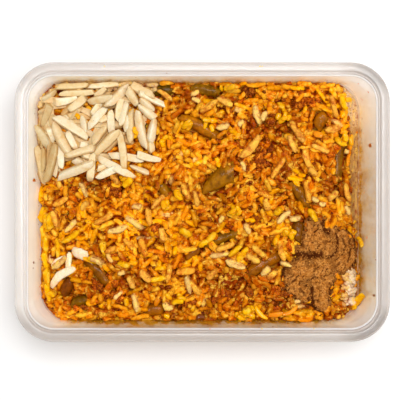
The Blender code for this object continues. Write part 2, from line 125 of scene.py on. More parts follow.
# Crumbs of mince: pixel across, pixel down, length, width, heading in degrees.
MINCE = (
    (112, 189, 0.0092, 0.0082, 20),
    (248, 92, 0.0072, 0.0062, 10),
    (300, 102, 0.0092, 0.0078, 60),
    (262, 160, 0.0118, 0.0098, 40),
    (188, 302, 0.0098, 0.0070, 0),
    (114, 259, 0.0070, 0.0064, 0),
    (221, 296, 0.0125, 0.0074, 5),
    (118, 297, 0.0072, 0.0056, -30),
    (275, 293, 0.0098, 0.0076, 15),
)
ALMOND_EDGE = (
    (44, 101), (60, 91), (96, 87), (130, 87), (150, 100), (154, 122),
    (148, 150), (134, 163), (112, 168), (88, 168), (62, 172), (46, 168), (40, 148), (39, 124),
)
SPICE_EDGE = (
    (308, 222), (321, 222), (324, 230), (334, 229), (345, 232), (351, 238), (355, 250), (356, 263),
    (347, 268), (335, 272), (330, 283), (328, 295), (326, 307), (320, 310), (314, 304), (311, 297),
    (305, 301), (299, 299), (294, 293), (287, 290), (285, 282), (285, 270), (292, 266), (297, 259),
    (297, 250), (303, 243), (306, 232),
)
# Almond slivers from the bottom of the heap to its top: both ends in pixels and the width in pixels.
SLIVERS = (
    (58, 87, 88, 85.5, 6), (89, 87, 118, 84.5, 6), (42, 100, 56, 90, 6), (60, 93.5, 94, 92, 6),
    (37.5, 112, 47, 110, 5), (79, 144, 87, 146, 7), (64, 115, 79, 129, 7), (92, 116, 102, 101, 7),
    (54, 102, 77, 98, 7.5), (43, 148, 42, 172, 7), (36, 146, 43, 184, 7), (34.5, 125.5, 47.5, 147, 7.5),
    (49, 128, 54.5, 141.5, 7), (42, 126, 50, 105, 7), (54, 175, 57.5, 152, 6), (73, 160, 81, 163, 7),
    (84, 155, 90, 157, 7), (94, 97, 106, 88, 6), (99, 122, 110, 117, 6), (126, 114, 127, 132, 6),
    (88, 128, 106, 108, 8), (88, 102, 113, 98, 7.5), (83.5, 116, 85.5, 133, 6), (69, 111, 86, 97, 8),
    (94, 142, 106, 127, 7), (111, 110, 112, 132, 8), (127, 102, 122, 126, 7), (121, 100, 118, 121, 7),
    (106.5, 107.5, 128, 85, 8.5), (130, 85, 155, 97, 8), (128, 88, 138, 105, 8),
    (140, 99.5, 153.5, 111.5, 6.5), (139, 93.5, 165, 106, 6), (139, 106, 155, 119, 7),
    (132, 109, 131, 143, 7.5), (151, 141, 152, 153, 6), (154.5, 119, 150, 143, 7.5),
    (138.5, 111, 145.5, 149, 8.5), (97, 178, 119, 166.5, 7.5), (97.5, 169, 111, 164, 6),
    (110, 156, 144, 160, 7.5), (93, 154.5, 90.5, 180, 7.5), (60, 144, 61.5, 169, 7.5),
    (44.5, 182, 56.5, 144, 7.5), (57.5, 177.5, 95, 163.5, 8.5), (130, 166, 149, 173.5, 5),
    (97, 157, 136, 178, 8), (119, 129, 124.5, 168.5, 7.5), (138, 154.5, 161, 160.5, 7),
    (67.5, 133, 76.5, 148.5, 7), (53.5, 122, 72, 157, 8.5), (67, 156.5, 95.5, 147.5, 7),
    (95.5, 154, 119, 131.5, 8), (55.5, 117.5, 88, 138.5, 8.5),
)
# Cracks and dips in the spice: points in pixels, width and depth in millimetres, and how dark they are
# painted, partly as painted shade.
CRACKS = (
    (((297, 254), (303, 255), (310, 256), (319, 254)), 3.2, 1.6, 1.0),
    (((322, 224), (324, 230), (327, 232)), 2.4, 1.3, 1.0),
    (((335, 234), (337, 241), (336, 251), (331, 256), (325, 257)), 1.35, 1.0, 0.95),
    (((292, 281), (295, 279)), 1.0, 0.8, 0.9),
    (((284, 290), (288, 289)), 1.0, 0.8, 0.9),
    (((310, 279), (313, 276), (316, 277)), 0.7, 0.7, 0.75),
    (((320, 276), (322, 280)), 0.7, 0.6, 0.7),
    (((300, 288), (303, 292)), 0.8, 0.8, 0.8),
    (((311, 286), (311, 298), (313, 308)), 1.7, 1.3, 0.95),
    (((329, 288), (328, 300)), 1.1, 1.0, 0.9),
    (((342, 238), (345, 246), (343, 252)), 0.9, 0.8, 0.85),
    (((350, 240), (351, 252), (348, 262)), 0.9, 0.8, 0.85),
    (((312, 262), (314, 266), (313, 271)), 0.6, 0.6, 0.6),
    (((340, 262), (334, 268)), 0.8, 0.7, 0.7),
)

SEED = 5


# ---------------------------------------------------------------- places and heights


def from_photo(across, down):
    """The place (x, y) that the CAD model gives a pixel."""
    return Vector(((across - PHOTO_CENTRE[0]) * RICE_PIXEL, (PHOTO_CENTRE[1] - down) * RICE_PIXEL))


def to_photo(x, y):
    """The pixel of a place, the other way round."""
    return PHOTO_CENTRE[0] + x / RICE_PIXEL, PHOTO_CENTRE[1] - y / RICE_PIXEL


def seen_at(across, down, z):
    """The place (x, y) at height z that the camera sees at a pixel."""
    scale = PIXEL_AT_RIM * (EYE_ABOVE_RIM + BOX_HEIGHT - z) / EYE_ABOVE_RIM
    return Vector((EYE[0] + (across - MIDDLE) * scale, EYE[1] + (MIDDLE - down) * scale))


def seen_between(x0, y0, x1, y1, z):
    """Middle, heading and length of a straight piece whose ends the camera sees at two pixels."""
    a, b = seen_at(x0, y0, z), seen_at(x1, y1, z)
    return (a + b) / 2, math.atan2(b.y - a.y, b.x - a.x), (b - a).length


def ease(share):
    """Goes smoothly from 0 to 1 as share does, and stays there beyond them."""
    share = min(max(share, 0.0), 1.0)
    return share * share * (3 - 2 * share)


def rice_level(x, y):
    """Height of the bare rice surface of the CAD model."""
    swell = SWELL * noise.noise(Vector((x / SWELL_WIDTH, y / SWELL_WIDTH, 0.3)))
    bump = BUMP * noise.noise(Vector((x / BUMP_WIDTH, y / BUMP_WIDTH, 7.1)))
    held = ALMOND_CORNER_HELD * ease((y - ALMOND_CORNER_FROM) / ALMOND_CORNER_OVER)
    fall = RICE_FALL_RIGHT if x > 0 else RICE_FALL_LEFT * (1 - held)
    reach = BOX_LENGTH / 2 - RICE_FALL_FROM
    level = RICE_LEVEL + RICE_TILT * y + swell + bump
    return level - fall * ease((abs(x) - RICE_FALL_FROM) / reach)


def food_level(x, y):
    """The same in the scene, where the rice lies lower in a strip by the right-hand wall."""
    return rice_level(x, y) - EDGE_DIP * ease((x - EDGE_DIP_FROM) / EDGE_DIP_OVER) * ease((y + 0.058) / 0.012)


def grains_end(y):
    """On the right no whole grain reaches beyond this; the rice there is smeared flat."""
    return 0.0787 - 0.0031 * ease((y + 0.014) / 0.010) - 0.0034 * ease((y - 0.038) / 0.012)


def wall_inset(z):
    """How far the inner wall's face is from the lip's outer edge, at height z."""
    return WALL_TOP_INSET + (BOX_HEIGHT - WALL_TOP_DROP - z) * WALL_DRAFT


def corner_extra(z):
    """How much wider the curve of the inner wall's corners is at height z."""
    return CORNER_EXTRA * ease((BOX_HEIGHT - WALL_TOP_DROP - z) / CORNER_EXTRA_OVER)


def room_to_wall(x, y, z):
    """How far a point is inside the inner wall's face, negative outside it."""
    inset = wall_inset(z)
    radius = BOX_CORNER_RADIUS - inset + corner_extra(z)
    over_x = abs(x) - (BOX_LENGTH / 2 - inset - radius)
    over_y = abs(y) - (BOX_WIDTH / 2 - inset - radius)
    outside = math.hypot(max(over_x, 0.0), max(over_y, 0.0))
    return radius - outside - min(max(over_x, over_y), 0.0)


def rounded_ring(inset, z, extra=0.0, steps=14):
    """A rounded rectangle, inset from the lip's outer edge, as points anticlockwise from above."""
    half_x, half_y = BOX_LENGTH / 2 - inset, BOX_WIDTH / 2 - inset
    radius = max(BOX_CORNER_RADIUS - inset, 0.003) + extra
    points = []
    for quarter, (side_x, side_y) in enumerate(((1, 1), (-1, 1), (-1, -1), (1, -1))):
        for step in range(steps + 1):
            turn = math.pi / 2 * (quarter + step / steps)
            x = side_x * (half_x - radius) + radius * math.cos(turn)
            y = side_y * (half_y - radius) + radius * math.sin(turn)
            points.append((x, y, z))
    return points


def in_outline(point, corners):
    """Whether a point is inside an outline."""
    inside = False
    for i, a in enumerate(corners):
        b = corners[i - 1]
        if (a[1] > point[1]) != (b[1] > point[1]):
            if point[0] < (b[0] - a[0]) * (point[1] - a[1]) / (b[1] - a[1]) + a[0]:
                inside = not inside
    return inside


def outline_depth(point, corners):
    """Distance to an outline's edge, positive inside it."""
    nearest = min(segment_distance(point, corners[i - 1], corners[i]) for i in range(len(corners)))
    return nearest if in_outline(point, corners) else -nearest


def segment_distance(point, a, b):
    """Distance of a point from the straight line between two others."""
    along_x, along_y = b[0] - a[0], b[1] - a[1]
    share = ((point[0] - a[0]) * along_x + (point[1] - a[1]) * along_y) / (along_x**2 + along_y**2)
    share = min(max(share, 0.0), 1.0)
    return math.hypot(point[0] - a[0] - share * along_x, point[1] - a[1] - share * along_y)


ALMOND_OUTLINE = [tuple(from_photo(*p)) for p in ALMOND_EDGE]
SPICE_OUTLINE = [tuple(from_photo(*p)) for p in SPICE_EDGE]


# ---------------------------------------------------------------- colour


def linear(red, green, blue):
    """A display colour, 0 to 255, as scene-linear numbers."""
    out = []
    for value in (red, green, blue):
        value = value / 255
        out.append(value / 12.92 if value <= 0.04045 else ((value + 0.055) / 1.055) ** 2.4)
    return tuple(out)


class Value:
    """A number or a colour in a node tree. Arithmetic on it adds Math nodes."""

    def __init__(self, nodes, socket):
        self.nodes, self.socket = nodes, socket

    def __add__(self, other):
        return self.nodes.math("ADD", self, other)

    def __mul__(self, other):
        return self.nodes.math("MULTIPLY", self, other)

    def __rsub__(self, other):
        return self.nodes.math("SUBTRACT", other, self)

    def __neg__(self):
        return self * -1.0

    def __abs__(self):
        return self.nodes.math("ABSOLUTE", self)


class Nodes:
    """A material's node tree with one Principled shader, and short ways to add to it.

    Colours are display colours from 0 to 255.
    """

    def __init__(self, name, **plain):
        self.material = bpy.data.materials.new(name)
        self.material.use_nodes = True
        self.tree = self.material.node_tree
        self.shader = next(n for n in self.tree.nodes if n.type == "BSDF_PRINCIPLED")
        for socket, value in plain.items():
            self.shader.inputs[socket.replace("_", " ")].default_value = value
        self.place = Value(self, self.add("ShaderNodeTexCoord").outputs["Object"])

    def add(self, kind, feeds=(), **settings):
        """A node. feeds are pairs of an input's name or number and what goes in: number, colour or Value."""
        node = self.tree.nodes.new(kind)
        for key, value in settings.items():
            setattr(node, key, value)
        for socket, value in feeds:
            self.feed(node.inputs[socket], value)
        return node

    def feed(self, socket, value):
        """Links a Value to a socket, or sets the socket to a number or a colour."""
        if isinstance(value, Value):
            self.tree.links.new(value.socket, socket)
        else:
            socket.default_value = (*linear(*value), 1) if isinstance(value, tuple) else value

    def noise(self, scale, detail=3.0, roughness=0.6, stretch=None, distortion=0.0):
        place = self.place
        if stretch:
            mapping = self.add("ShaderNodeMapping", (("Vector", place),))
            mapping.inputs["Scale"].default_value = stretch
            place = Value(self, mapping.outputs["Vector"])
        feeds = (("Scale", scale), ("Detail", detail), ("Roughness", roughness), ("Distortion", distortion))
        node = self.add("ShaderNodeTexNoise", (("Vector", place), *feeds))
        return Value(self, node.outputs["Fac"])

    def ramp(self, fac, *stops):
        """stops are (position, value) with a number or a colour."""
        node = self.add("ShaderNodeValToRGB", (("Fac", fac),))
        marks = node.color_ramp.elements
        while len(marks) < len(stops):
            marks.new(0.5)
        for mark, (position, value) in zip(marks, stops):
            mark.position = position
            mark.color = (*linear(*value), 1) if isinstance(value, tuple) else (value, value, value, 1)
        return Value(self, node.outputs["Color"])

    def mix(self, fac, a, b, blend="MIX"):
        node = self.add("ShaderNodeMix", ((0, fac), (6, a), (7, b)), data_type="RGBA", blend_type=blend)
        return Value(self, node.outputs[2])

    def math(self, operation, a, b=0.0):
        node = self.add("ShaderNodeMath", ((0, a), (1, b)), operation=operation)
        return Value(self, node.outputs[0])

    def attribute(self, name, output="Color"):
        return Value(self, self.add("ShaderNodeAttribute", attribute_name=name).outputs[output])

    def axis(self, which):
        return Value(self, self.add("ShaderNodeSeparateXYZ", ((0, self.place),)).outputs[which])

    def give(self, **sources):
        """Links values to the shader's sockets."""
        for socket, value in sources.items():
            self.feed(self.shader.inputs[socket.replace("_", " ")], value)

    def bump(self, height, distance, strength=1.0):
        feeds = (("Height", height), ("Distance", distance), ("Strength", strength))
        self.give(Normal=Value(self, self.add("ShaderNodeBump", feeds).outputs["Normal"]))


# ---------------------------------------------------------------- meshes


def build(name, points, face_sizes, face_points, material, tint=None, extra=None):
    """One smooth-shaded object from arrays. tint and extra are colours and numbers for each point."""
    mesh = bpy.data.meshes.new(name)
    mesh.vertices.add(len(points))
    mesh.vertices.foreach_set("co", np.asarray(points, np.float32).ravel())
    mesh.loops.add(len(face_points))
    mesh.loops.foreach_set("vertex_index", np.asarray(face_points, np.int32))
    sizes = np.asarray(face_sizes, np.int32)
    mesh.polygons.add(len(sizes))
    mesh.polygons.foreach_set("loop_start", np.concatenate(([0], np.cumsum(sizes)[:-1])).astype(np.int32))
    mesh.update(calc_edges=True)
    mesh.validate()
    if tint is not None:
        colours = np.ones((len(points), 4), np.float32)
        colours[:, :3] = tint
        mesh.color_attributes.new("tint", "FLOAT_COLOR", "POINT").data.foreach_set("color", colours.ravel())
    if extra is not None:
        numbers = np.asarray(extra, np.float32)
        mesh.attributes.new("extra", "FLOAT", "POINT").data.foreach_set("value", numbers)
    mesh.shade_smooth()
    mesh.materials.append(material)
    obj = bpy.data.objects.new(name, mesh)
    bpy.context.scene.collection.objects.link(obj)
    return obj


def grid_faces(index):
    """Four-sided faces over a grid of point numbers."""
    return np.stack((index[:-1, :-1], index[:-1, 1:], index[1:, 1:], index[1:, :-1]), axis=-1).reshape(-1, 4)


def loft_faces(rings, count):
    """Faces through rings of count points each, with closed ends, as sizes and point numbers."""
    index = np.arange(rings * count).reshape(rings, count)
    across = np.roll(index, -1, axis=1)
    quads = np.stack((index[:-1], across[:-1], across[1:], index[1:]), axis=-1).reshape(-1)
    sizes = np.concatenate((np.full((rings - 1) * count, 4), [count, count]))
    return sizes, np.concatenate((quads, index[0][::-1], index[-1]))


def ride(obj, slot, *nodes):
    """Fixes a piece to the one body and hides the CAD parts that it stands for."""
    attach(obj, "root")
    if nodes:
        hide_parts(*nodes)
    return obj


class Heap:
    """Small pieces of triangles that become one mesh."""

    def __init__(self):
        self.points, self.faces, self.tints = [], [], []

    def add(self, points, faces, tints):
        base = len(self.points)
        self.points += points
        self.faces += [[k + base for k in face] for face in faces]
        self.tints += tints

    def mesh(self, name, material):
        sizes, faces = [3] * len(self.faces), np.array(self.faces).ravel()
        return build(name, self.points, sizes, faces, material, np.array(self.tints))


class Rods:
    """Long pieces, such as grains or slivers, that become one mesh."""

    def __init__(self):
        self.rows = []

    def add(self, middle, run, length, radius, flat, bend, bend_turn, tint, roll=0.0):
        self.rows.append((middle, run, length, radius, flat, bend, bend_turn, tint, roll))

    def lay(self, ground, place, slope, heading, length, radius, flat, bend, bend_turn, tint, roll=0.0):
        """Adds a piece and raises the ground under what comes after it."""
        run = (math.cos(heading), math.sin(heading), slope)
        self.add(place, run, length, radius, flat, bend, bend_turn, tint, roll)
        ground.raise_rod(place, slope, heading, length, radius, flat)

    def mesh(self, name, material, shape, sides, square, seed, lumps=0.06, ends=0.9, wobble=0.0, lean=0.16,
             points=(1.0, 1.0), slant=0.0, under=(0.0, 0.0, 0.0), shading=(0.5, 0.72), crisp=None):
        """One mesh of all pieces.

        points is the range of how pointed the ends are, slant how far the ends are cut aslant, under how much
        of each colour the sides and the underside lose as painted shade, and shading where that starts.
        """
        draw = np.random.default_rng(seed)
        count, rings = len(self.rows), len(shape)
        middle, run, length, radius, flat, bend, bend_turn, tint, roll = map(np.array, zip(*self.rows))
        measures = (length, radius, flat, bend, bend_turn)
        length, radius, flat, bend, bend_turn = (a[:, None, None] for a in measures)
        run = run / np.linalg.norm(run, axis=1, keepdims=True)
        side = np.stack((-run[:, 1], run[:, 0], np.zeros(count)), axis=1)
        flatness = np.linalg.norm(side, axis=1, keepdims=True)
        side = np.where(flatness < 1e-4, [1.0, 0.0, 0.0], side / np.maximum(flatness, 1e-9))
        side = side * np.cos(roll)[:, None] + np.cross(run, side) * np.sin(roll)[:, None]
        up = np.cross(run, side)
        place, share = (np.array(column) for column in zip(*shape))
        turn = np.arange(sides) / sides * math.tau + math.pi / sides
        round_x, round_y = (np.sign(w) * np.abs(w) ** (2 / square) for w in (np.cos(turn), np.sin(turn)))
        # Each piece is a little uneven: fatter to one end, and lumpy along and around it.
        lean = draw.uniform(-lean, lean, (count, 1, 1))
        wave = draw.uniform(0, math.tau, (count, 4, 1, 1))
        t = place[:, None]
        lump = (
            np.sin(t * 9.0 + wave[:, 0] + turn)
            + 0.8 * np.sin(t * 17.0 + wave[:, 1] - 2 * turn)
            + 0.7 * np.sin(t * 5.0 + wave[:, 2] + 3 * turn)
        )
        sharp = draw.uniform(*points, (count, 2, 1, 1))
        power = np.where(t < 0.5, sharp[:, 0], sharp[:, 1])
        wide = radius * share[:, None] ** power * (1 + lean * (t - 0.5) * 2) * (1 + lumps * lump)
        wander = draw.normal(0, 1, (count, rings, 2)) * radius * wobble
        wide = wide * (1 + draw.normal(0, 1, (count, rings, 1)) * wobble * 0.6)
        bow = bend * (1 - (2 * t - 1) ** 2)
        twist = 0.25 * np.sin(math.tau * t * 0.7 + wave[:, 3]) * bend
        out_x = round_x * wide + bow * np.cos(bend_turn) + twist + wander[..., :1]
        out_y = round_y * wide * flat + bow * np.sin(bend_turn) + wander[..., 1:]
        along = (t - 0.5) * length
        cut = draw.uniform(-slant, slant, (count, 2, 2, 1, 1))
        near_end = np.abs(2 * t - 1) ** 6
        for which, offset in ((0, out_x), (1, out_y)):
            along = along + np.where(t < 0.5, cut[:, 0, which], cut[:, 1, which]) * near_end * offset
        middle, run, side, up = (a[:, None, None, :] for a in (middle, run, side, up))
        places = middle + run * along[..., None] + side * out_x[..., None] + up * out_y[..., None]
        sizes, faces = loft_faces(rings, sides)
        faces = (faces[None, :] + np.arange(count)[:, None] * rings * sides).reshape(-1)
        fade = 1 - (1 - ends) * np.abs(2 * t - 1) ** 3
        colours = tint[:, None, None, :] * fade[..., None] * np.ones((1, 1, sides, 1))
        # Painted shade: where a piece's surface faces less upward, past shading, it loses some of each colour,
        # by under.
        turned_up = side[..., 2] * round_x + up[..., 2] * round_y
        low = np.clip(shading[0] - shading[1] * turned_up, 0, 1)[..., None]
        colours = (colours * (1 - low * np.array(under))).reshape(-1, 3)
        obj = build(name, places.reshape(-1, 3), np.tile(sizes, count), faces, material, colours)
        if crisp:
            obj.data.set_sharp_from_angle(angle=math.radians(crisp))
        return obj


# ---------------------------------------------------------------- the height map


class Ground:
    """The height of everything laid so far, on a square grid, and what may not be covered.

    level is the bare rice, skin and paint the height and colour of the rice that is laid.
    """

    def __init__(self, step=0.0004, reach_x=0.0845, reach_y=0.0620):
        self.step = step
        self.low = (-reach_x, -reach_y)
        self.shape = (int(2 * reach_x / step) + 1, int(2 * reach_y / step) + 1)
        self.level = np.zeros(self.shape)
        coarse = 4
        for i in range(0, self.shape[0] + coarse, coarse):
            for j in range(0, self.shape[1] + coarse, coarse):
                level = food_level(self.low[0] + i * step, self.low[1] + j * step)
                self.level[i : i + coarse, j : j + coarse] = level
        self.height = self.level - BED_DROP
        self.skin = self.height.copy()
        self.paint = np.full((*self.shape, 3), linear(196, 100, 8))
        self.kept = np.zeros(self.shape, bool)
        self.crumbs = []

    def cell(self, x, y):
        """Grid numbers of a place, or of arrays of places."""
        steps = ((x - self.low[0]) / self.step, (y - self.low[1]) / self.step)
        return tuple(np.clip(np.asarray(s).astype(int), 0, most - 1) for s, most in zip(steps, self.shape))

    def at(self, x, y):
        return float(self.height[self.cell(x, y)])

    def level_at(self, x, y):
        return float(self.level[self.cell(x, y)])

    def kept_at(self, x, y):
        return bool(self.kept[self.cell(x, y)])

    def rest(self, x, y, heading, length, radius, steepest=0.8):
        """The height of the middle and the slope at which a rod lies still on what is there."""
        cos, sin = math.cos(heading), math.sin(heading)
        s = np.linspace(-0.46 * length, 0.46 * length, 13)
        lines = []
        for off in (-0.45 * radius, 0.0, 0.45 * radius):
            lines.append(self.height[self.cell(x + s * cos - off * sin, y + s * sin + off * cos)])
        heights = np.maximum.reduce(lines)
        low, high = s <= 1e-9, s >= -1e-9
        s0, h0 = s[low][:, None], heights[low][:, None]
        s1, h1 = s[high][None, :], heights[high][None, :]
        span = np.maximum(s1 - s0, 1e-9)
        middle = np.where(s1 - s0 < 1e-6, h0, (h0 * s1 - h1 * s0) / span)
        best = np.unravel_index(np.argmax(middle), middle.shape)
        slope = float((h1[0, best[1]] - h0[best[0], 0]) / span[best[0], best[1]])
        slope = min(max(slope, -steepest), steepest)
        return float(np.max(heights - slope * s)), slope

    def covered(self, x, y, heading, length):
        """The share of a rod's length that would lie on something that stays in view."""
        s = np.linspace(-0.46 * length, 0.46 * length, 9)
        return float(np.mean(self.kept[self.cell(x + s * math.cos(heading), y + s * math.sin(heading))]))

    def local(self, x, y, reach, heading):
        """Slices round a place, and how far each grid point there is along a heading and across it."""
        i, j = int((x - self.low[0]) / self.step), int((y - self.low[1]) / self.step)
        n = int(reach / self.step) + 1
        i0, i1 = max(i - n, 0), min(i + n + 1, self.shape[0])
        j0, j1 = max(j - n, 0), min(j + n + 1, self.shape[1])
        xs = (self.low[0] + np.arange(i0, i1) * self.step)[:, None] - x
        ys = (self.low[1] + np.arange(j0, j1) * self.step)[None, :] - y
        cos, sin = math.cos(heading), math.sin(heading)
        return (slice(i0, i1), slice(j0, j1)), xs * cos + ys * sin, -xs * sin + ys * cos

    def raise_to(self, where, inside, top, tint):
        """Raises the ground to top where inside is above 0. A tint is given for rice alone."""
        if tint is not None:
            higher = (inside > 0) & (top > self.skin[where])
            self.skin[where] = np.where(higher, top, self.skin[where])
            self.paint[where] = np.where(higher[..., None], tint, self.paint[where])
        self.height[where] = np.where(inside > 0, np.maximum(self.height[where], top), self.height[where])

    def raise_rod(self, place, slope, heading, length, radius, flat=1.0, tint=None):
        x, y, z = place
        where, s, d = self.local(x, y, length / 2 + radius, heading)
        inside = 1 - (d / radius) ** 2 - (np.abs(s) / (length / 2)) ** 6
        self.raise_to(where, inside, z + slope * s + radius * flat * np.sqrt(np.maximum(inside, 0)), tint)

    def raise_dome(self, place, size, heading=0.0, keep=None, square=2.0, tint=None):
        x, y, z = place
        where, s, d = self.local(x, y, max(size[0], size[1]), heading)
        inside = 1 - np.abs(s / size[0]) ** square - np.abs(d / size[1]) ** square
        self.raise_to(where, inside, z + size[2] * np.sqrt(np.maximum(inside, 0)), tint)
        if keep is not None:
            self.kept[where] |= inside > keep


def clear_of_wall(x, y, z, slope, heading, length, clearance):
    """Whether both ends of a rod keep clear of the wall."""
    for sign in (-0.5, 0.5):
        end_x = x + sign * length * math.cos(heading)
        end_y = y + sign * length * math.sin(heading)
        if room_to_wall(end_x, end_y, z + slope * sign * length) < clearance or end_x > grains_end(end_y):
            return False
    return True


# ---------------------------------------------------------------- materials


# Strength of the plastic's painted glow: emission that stands in for light coming through the milky plastic.
PAINTED_WALL_GLOW = 0.30
PLASTIC_ALPHA = 0.58  # of clean plastic
PLAIN = (255, 255, 255)  # a colour that is multiplied by it stays as it is


def plastic_material():
    """Milky moulded plastic with a little painted glow, by emission, and a tan film on the inside of the walls
    that is heaviest by the food.
    """
    n = Nodes(
        "milky_plastic", Roughness=0.24, IOR=1.47, Specular_IOR_Level=0.35, Subsurface_Weight=0.8,
        Subsurface_Scale=0.004, Subsurface_Radius=(1.0, 0.85, 0.7), Coat_Weight=0.2, Coat_Roughness=0.06,
        Emission_Strength=PAINTED_WALL_GLOW,
    )
    clean = n.ramp(n.noise(60, 4), (0.3, (226, 219, 213)), (0.7, (233, 226, 221)))
    cream = n.ramp(n.noise(120, 5), (0.3, (242, 234, 214)), (0.7, (245, 240, 226)))
    tan = n.ramp(n.noise(260, 5, 0.7, (1, 1, 0.5)), (0.3, (150, 98, 2)), (0.7, (212, 164, 30)))
    x, y, z = n.axis("X"), n.axis("Y"), n.axis("Z") * 20.0

    def past(value, start, end):
        """0 before start and 1 past end."""
        return n.ramp(value * 5.0 + 0.5, (start * 5 + 0.5, 0.0), (end * 5 + 0.5, 1.0))

    right, front, back = past(x, 0.066, 0.084), past(-y, 0.050, 0.060), past(y, 0.052, 0.060)
    # The tan film is heaviest along the middle of the right-hand and the front wall, which makes them darker
    # than the left-hand wall.
    thick_right = past(-y, -0.042, -0.012) * past(y, -0.062, -0.048)
    thick_front = past(x, -0.074, -0.050) * past(-x, -0.072, -0.046)
    thick_back = back * past(-x, -0.076, -0.056)
    side = right * (thick_right * 0.52 + 0.24) + front * (thick_front * 0.66 + 0.30)
    side = side + (thick_back * 0.40 + 0.01)
    # The corners have less of the tan film, and their cream is painted near white, painted light that lifts
    # the shade there.
    corner = past(abs(x), 0.066, 0.080) * past(abs(y), 0.046, 0.057)
    cream = n.mix(corner * 0.8, cream, (253, 250, 247))
    # The extra number is 0 outside; inside it runs from 0.3 at the lip to 1 at the food, and is 2 under it.
    extra = n.attribute("extra", "Fac")
    inside = n.ramp(extra, (0.10, 0.0), (0.28, 1.0))
    by_food = n.ramp(extra, (0.32, 0.0), (0.98, 1.0))
    patches = n.ramp(n.noise(150, 6, 0.75, (1, 1, 0.4)), (0.38, 0.40), (0.62, 1.35))
    film = (side * 0.52 + by_food * (side * 1.5 + 0.14)) * patches * (1.0 - corner * 0.90)
    wall = n.mix(film, cream, tan)
    buried = n.ramp(extra * 0.5, (0.60, 0.0), (0.90, 1.0))
    cover = (film * 0.9 + by_food * 0.5) * inside * (1.0 - buried)
    # Where the front wall turns to the rim it is in shade.
    wall = n.mix(front * n.ramp(extra, (0.30, 0.62), (0.44, 0.0)), wall, (140, 118, 92))
    # The food's warm colour is painted on the outside of the milky wall below the rim, painted light that
    # stands in for the food seen through it.
    warm = n.ramp(z, (0.06, 0.74), (0.54, 0.62), (0.70, 0.0))
    warm = warm * n.ramp(n.noise(190, distortion=1.2), (0.38, 0.72), (0.60, 1.2))
    mottled = n.noise(420, 4, 0.7, distortion=0.8)
    food = n.ramp(mottled, (0.36, (206, 122, 10)), (0.50, (240, 170, 36)), (0.64, (254, 220, 112)))
    # Painted shade darkens the top of the rim, most on the right and at the front, less at the back; the walls
    # below it are left as they are, as they let light through.
    at_rim = n.ramp(z, (0.88, 0.15), (0.94, 1.0))
    painted_rim_shade = right * 0.64 + front * 0.58 + back * 0.42
    outside = n.mix(warm, n.mix(painted_rim_shade * at_rim, clean, (150, 141, 133)), food)
    # Below 0 the extra number marks the lip's groove, at -0.5, and the ridge beside it, at -1. The groove is
    # painted grey as painted shade, more on the right and at the front, and the ridge is painted near white as
    # a painted highlight.
    groove = n.ramp(-extra, (0.30, 0.0), (0.45, 0.75), (0.60, 0.75), (0.80, 0.0))
    groove = groove * (right * 0.62 + front * 0.62 + 0.22)
    outside = n.mix(groove, outside, (166, 154, 146))
    outside = n.mix(n.ramp(-extra, (0.80, 0.0), (0.95, 0.9)), outside, (253, 251, 249))
    # A painted glow, by emission, stands in for light that comes through the wall: it lifts the outside below
    # the rim, and the inside of the walls where side is low, most of all the left-hand wall.
    through = n.mix((1.0 - inside) * (1.0 - at_rim), (0, 0, 0), outside)
    n.give(
        Base_Color=n.mix(inside, outside, wall),
        Emission_Color=n.mix(inside * (1.0 - side), through, wall),
        Alpha=n.ramp(cover, (0.0, PLASTIC_ALPHA), (0.8, 0.99)),
    )
    n.bump(n.noise(900), 0.00003, 0.6)
    return n.material


def grain_material(name, roughness, specks, stains=0.72):
    """Moist cooked rice. Each grain brings its colour, painted shade included; stains, painted highlight spots
    and specks run over it.
    """
    n = Nodes(
        name, Roughness=roughness, IOR=1.42, Specular_IOR_Level=0.05, Subsurface_Weight=0.14,
        Subsurface_Scale=0.0008, Subsurface_Radius=(1.0, 0.45, 0.1), Coat_Weight=0.03, Coat_Roughness=0.08,
    )
    stain = n.ramp(n.noise(330, 4, 0.65), (0.36, (182, 74, 6)), (0.50, PLAIN))
    stained = n.mix(stains, n.attribute("tint"), stain, "MULTIPLY")
    # Pale spots are a painted highlight, standing in for the soft highlights of moist rice.
    painted_highlight_spots = n.ramp(n.noise(330, distortion=0.6), (0.53, 0.0), (0.67, 0.70))
    pale = n.mix(painted_highlight_spots, stained, (253, 204, 72))
    dots = n.ramp(n.noise(1400, 1, 0.5), (0.64, 0.0), (0.69, 1.0))
    n.give(Base_Color=n.mix(dots * specks, pale, (92, 26, 0)))
    n.bump(n.noise(900, 5, 0.7), 0.00022, 0.8)
    return n.material


def onion_material():
    """Soft cooked onion: smooth and moist, with faint streaks."""
    n = Nodes(
        "onion", Roughness=0.3, IOR=1.42, Specular_IOR_Level=0.25, Subsurface_Weight=0.3,
        Subsurface_Scale=0.001, Coat_Weight=0.1, Coat_Roughness=0.08,
    )
    streaks = n.ramp(n.noise(300, 4, 0.6, (1, 0.5, 1)), (0.36, (244, 222, 180)), (0.56, PLAIN))
    n.give(Base_Color=n.mix(0.7, n.attribute("tint"), streaks, "MULTIPLY"))
    n.bump(n.noise(500, 4), 0.00012)
    return n.material


def almond_material():
    """Cream almond, warmer in places, with a few brown flecks."""
    n = Nodes(
        "almond", Roughness=0.42, IOR=1.45, Specular_IOR_Level=0.4, Subsurface_Weight=0.25,
        Subsurface_Scale=0.0015, Subsurface_Radius=(1.0, 0.7, 0.4),
    )
    warm = n.ramp(n.noise(150, 4), (0.52, PLAIN), (0.76, (246, 216, 160)))
    fine = n.ramp(n.noise(700), (0.3, (246, 240, 226)), (0.6, PLAIN))
    cream = n.mix(1.0, n.mix(0.9, n.attribute("tint"), warm, "MULTIPLY"), fine, "MULTIPLY")
    flecks = n.ramp(n.noise(1300, 1, 0.4), (0.765, 0.0), (0.785, 0.8))
    n.give(Base_Color=n.mix(flecks, cream, (70, 40, 14)))
    n.bump(n.noise(500, 5, 0.7), 0.00014)
    return n.material


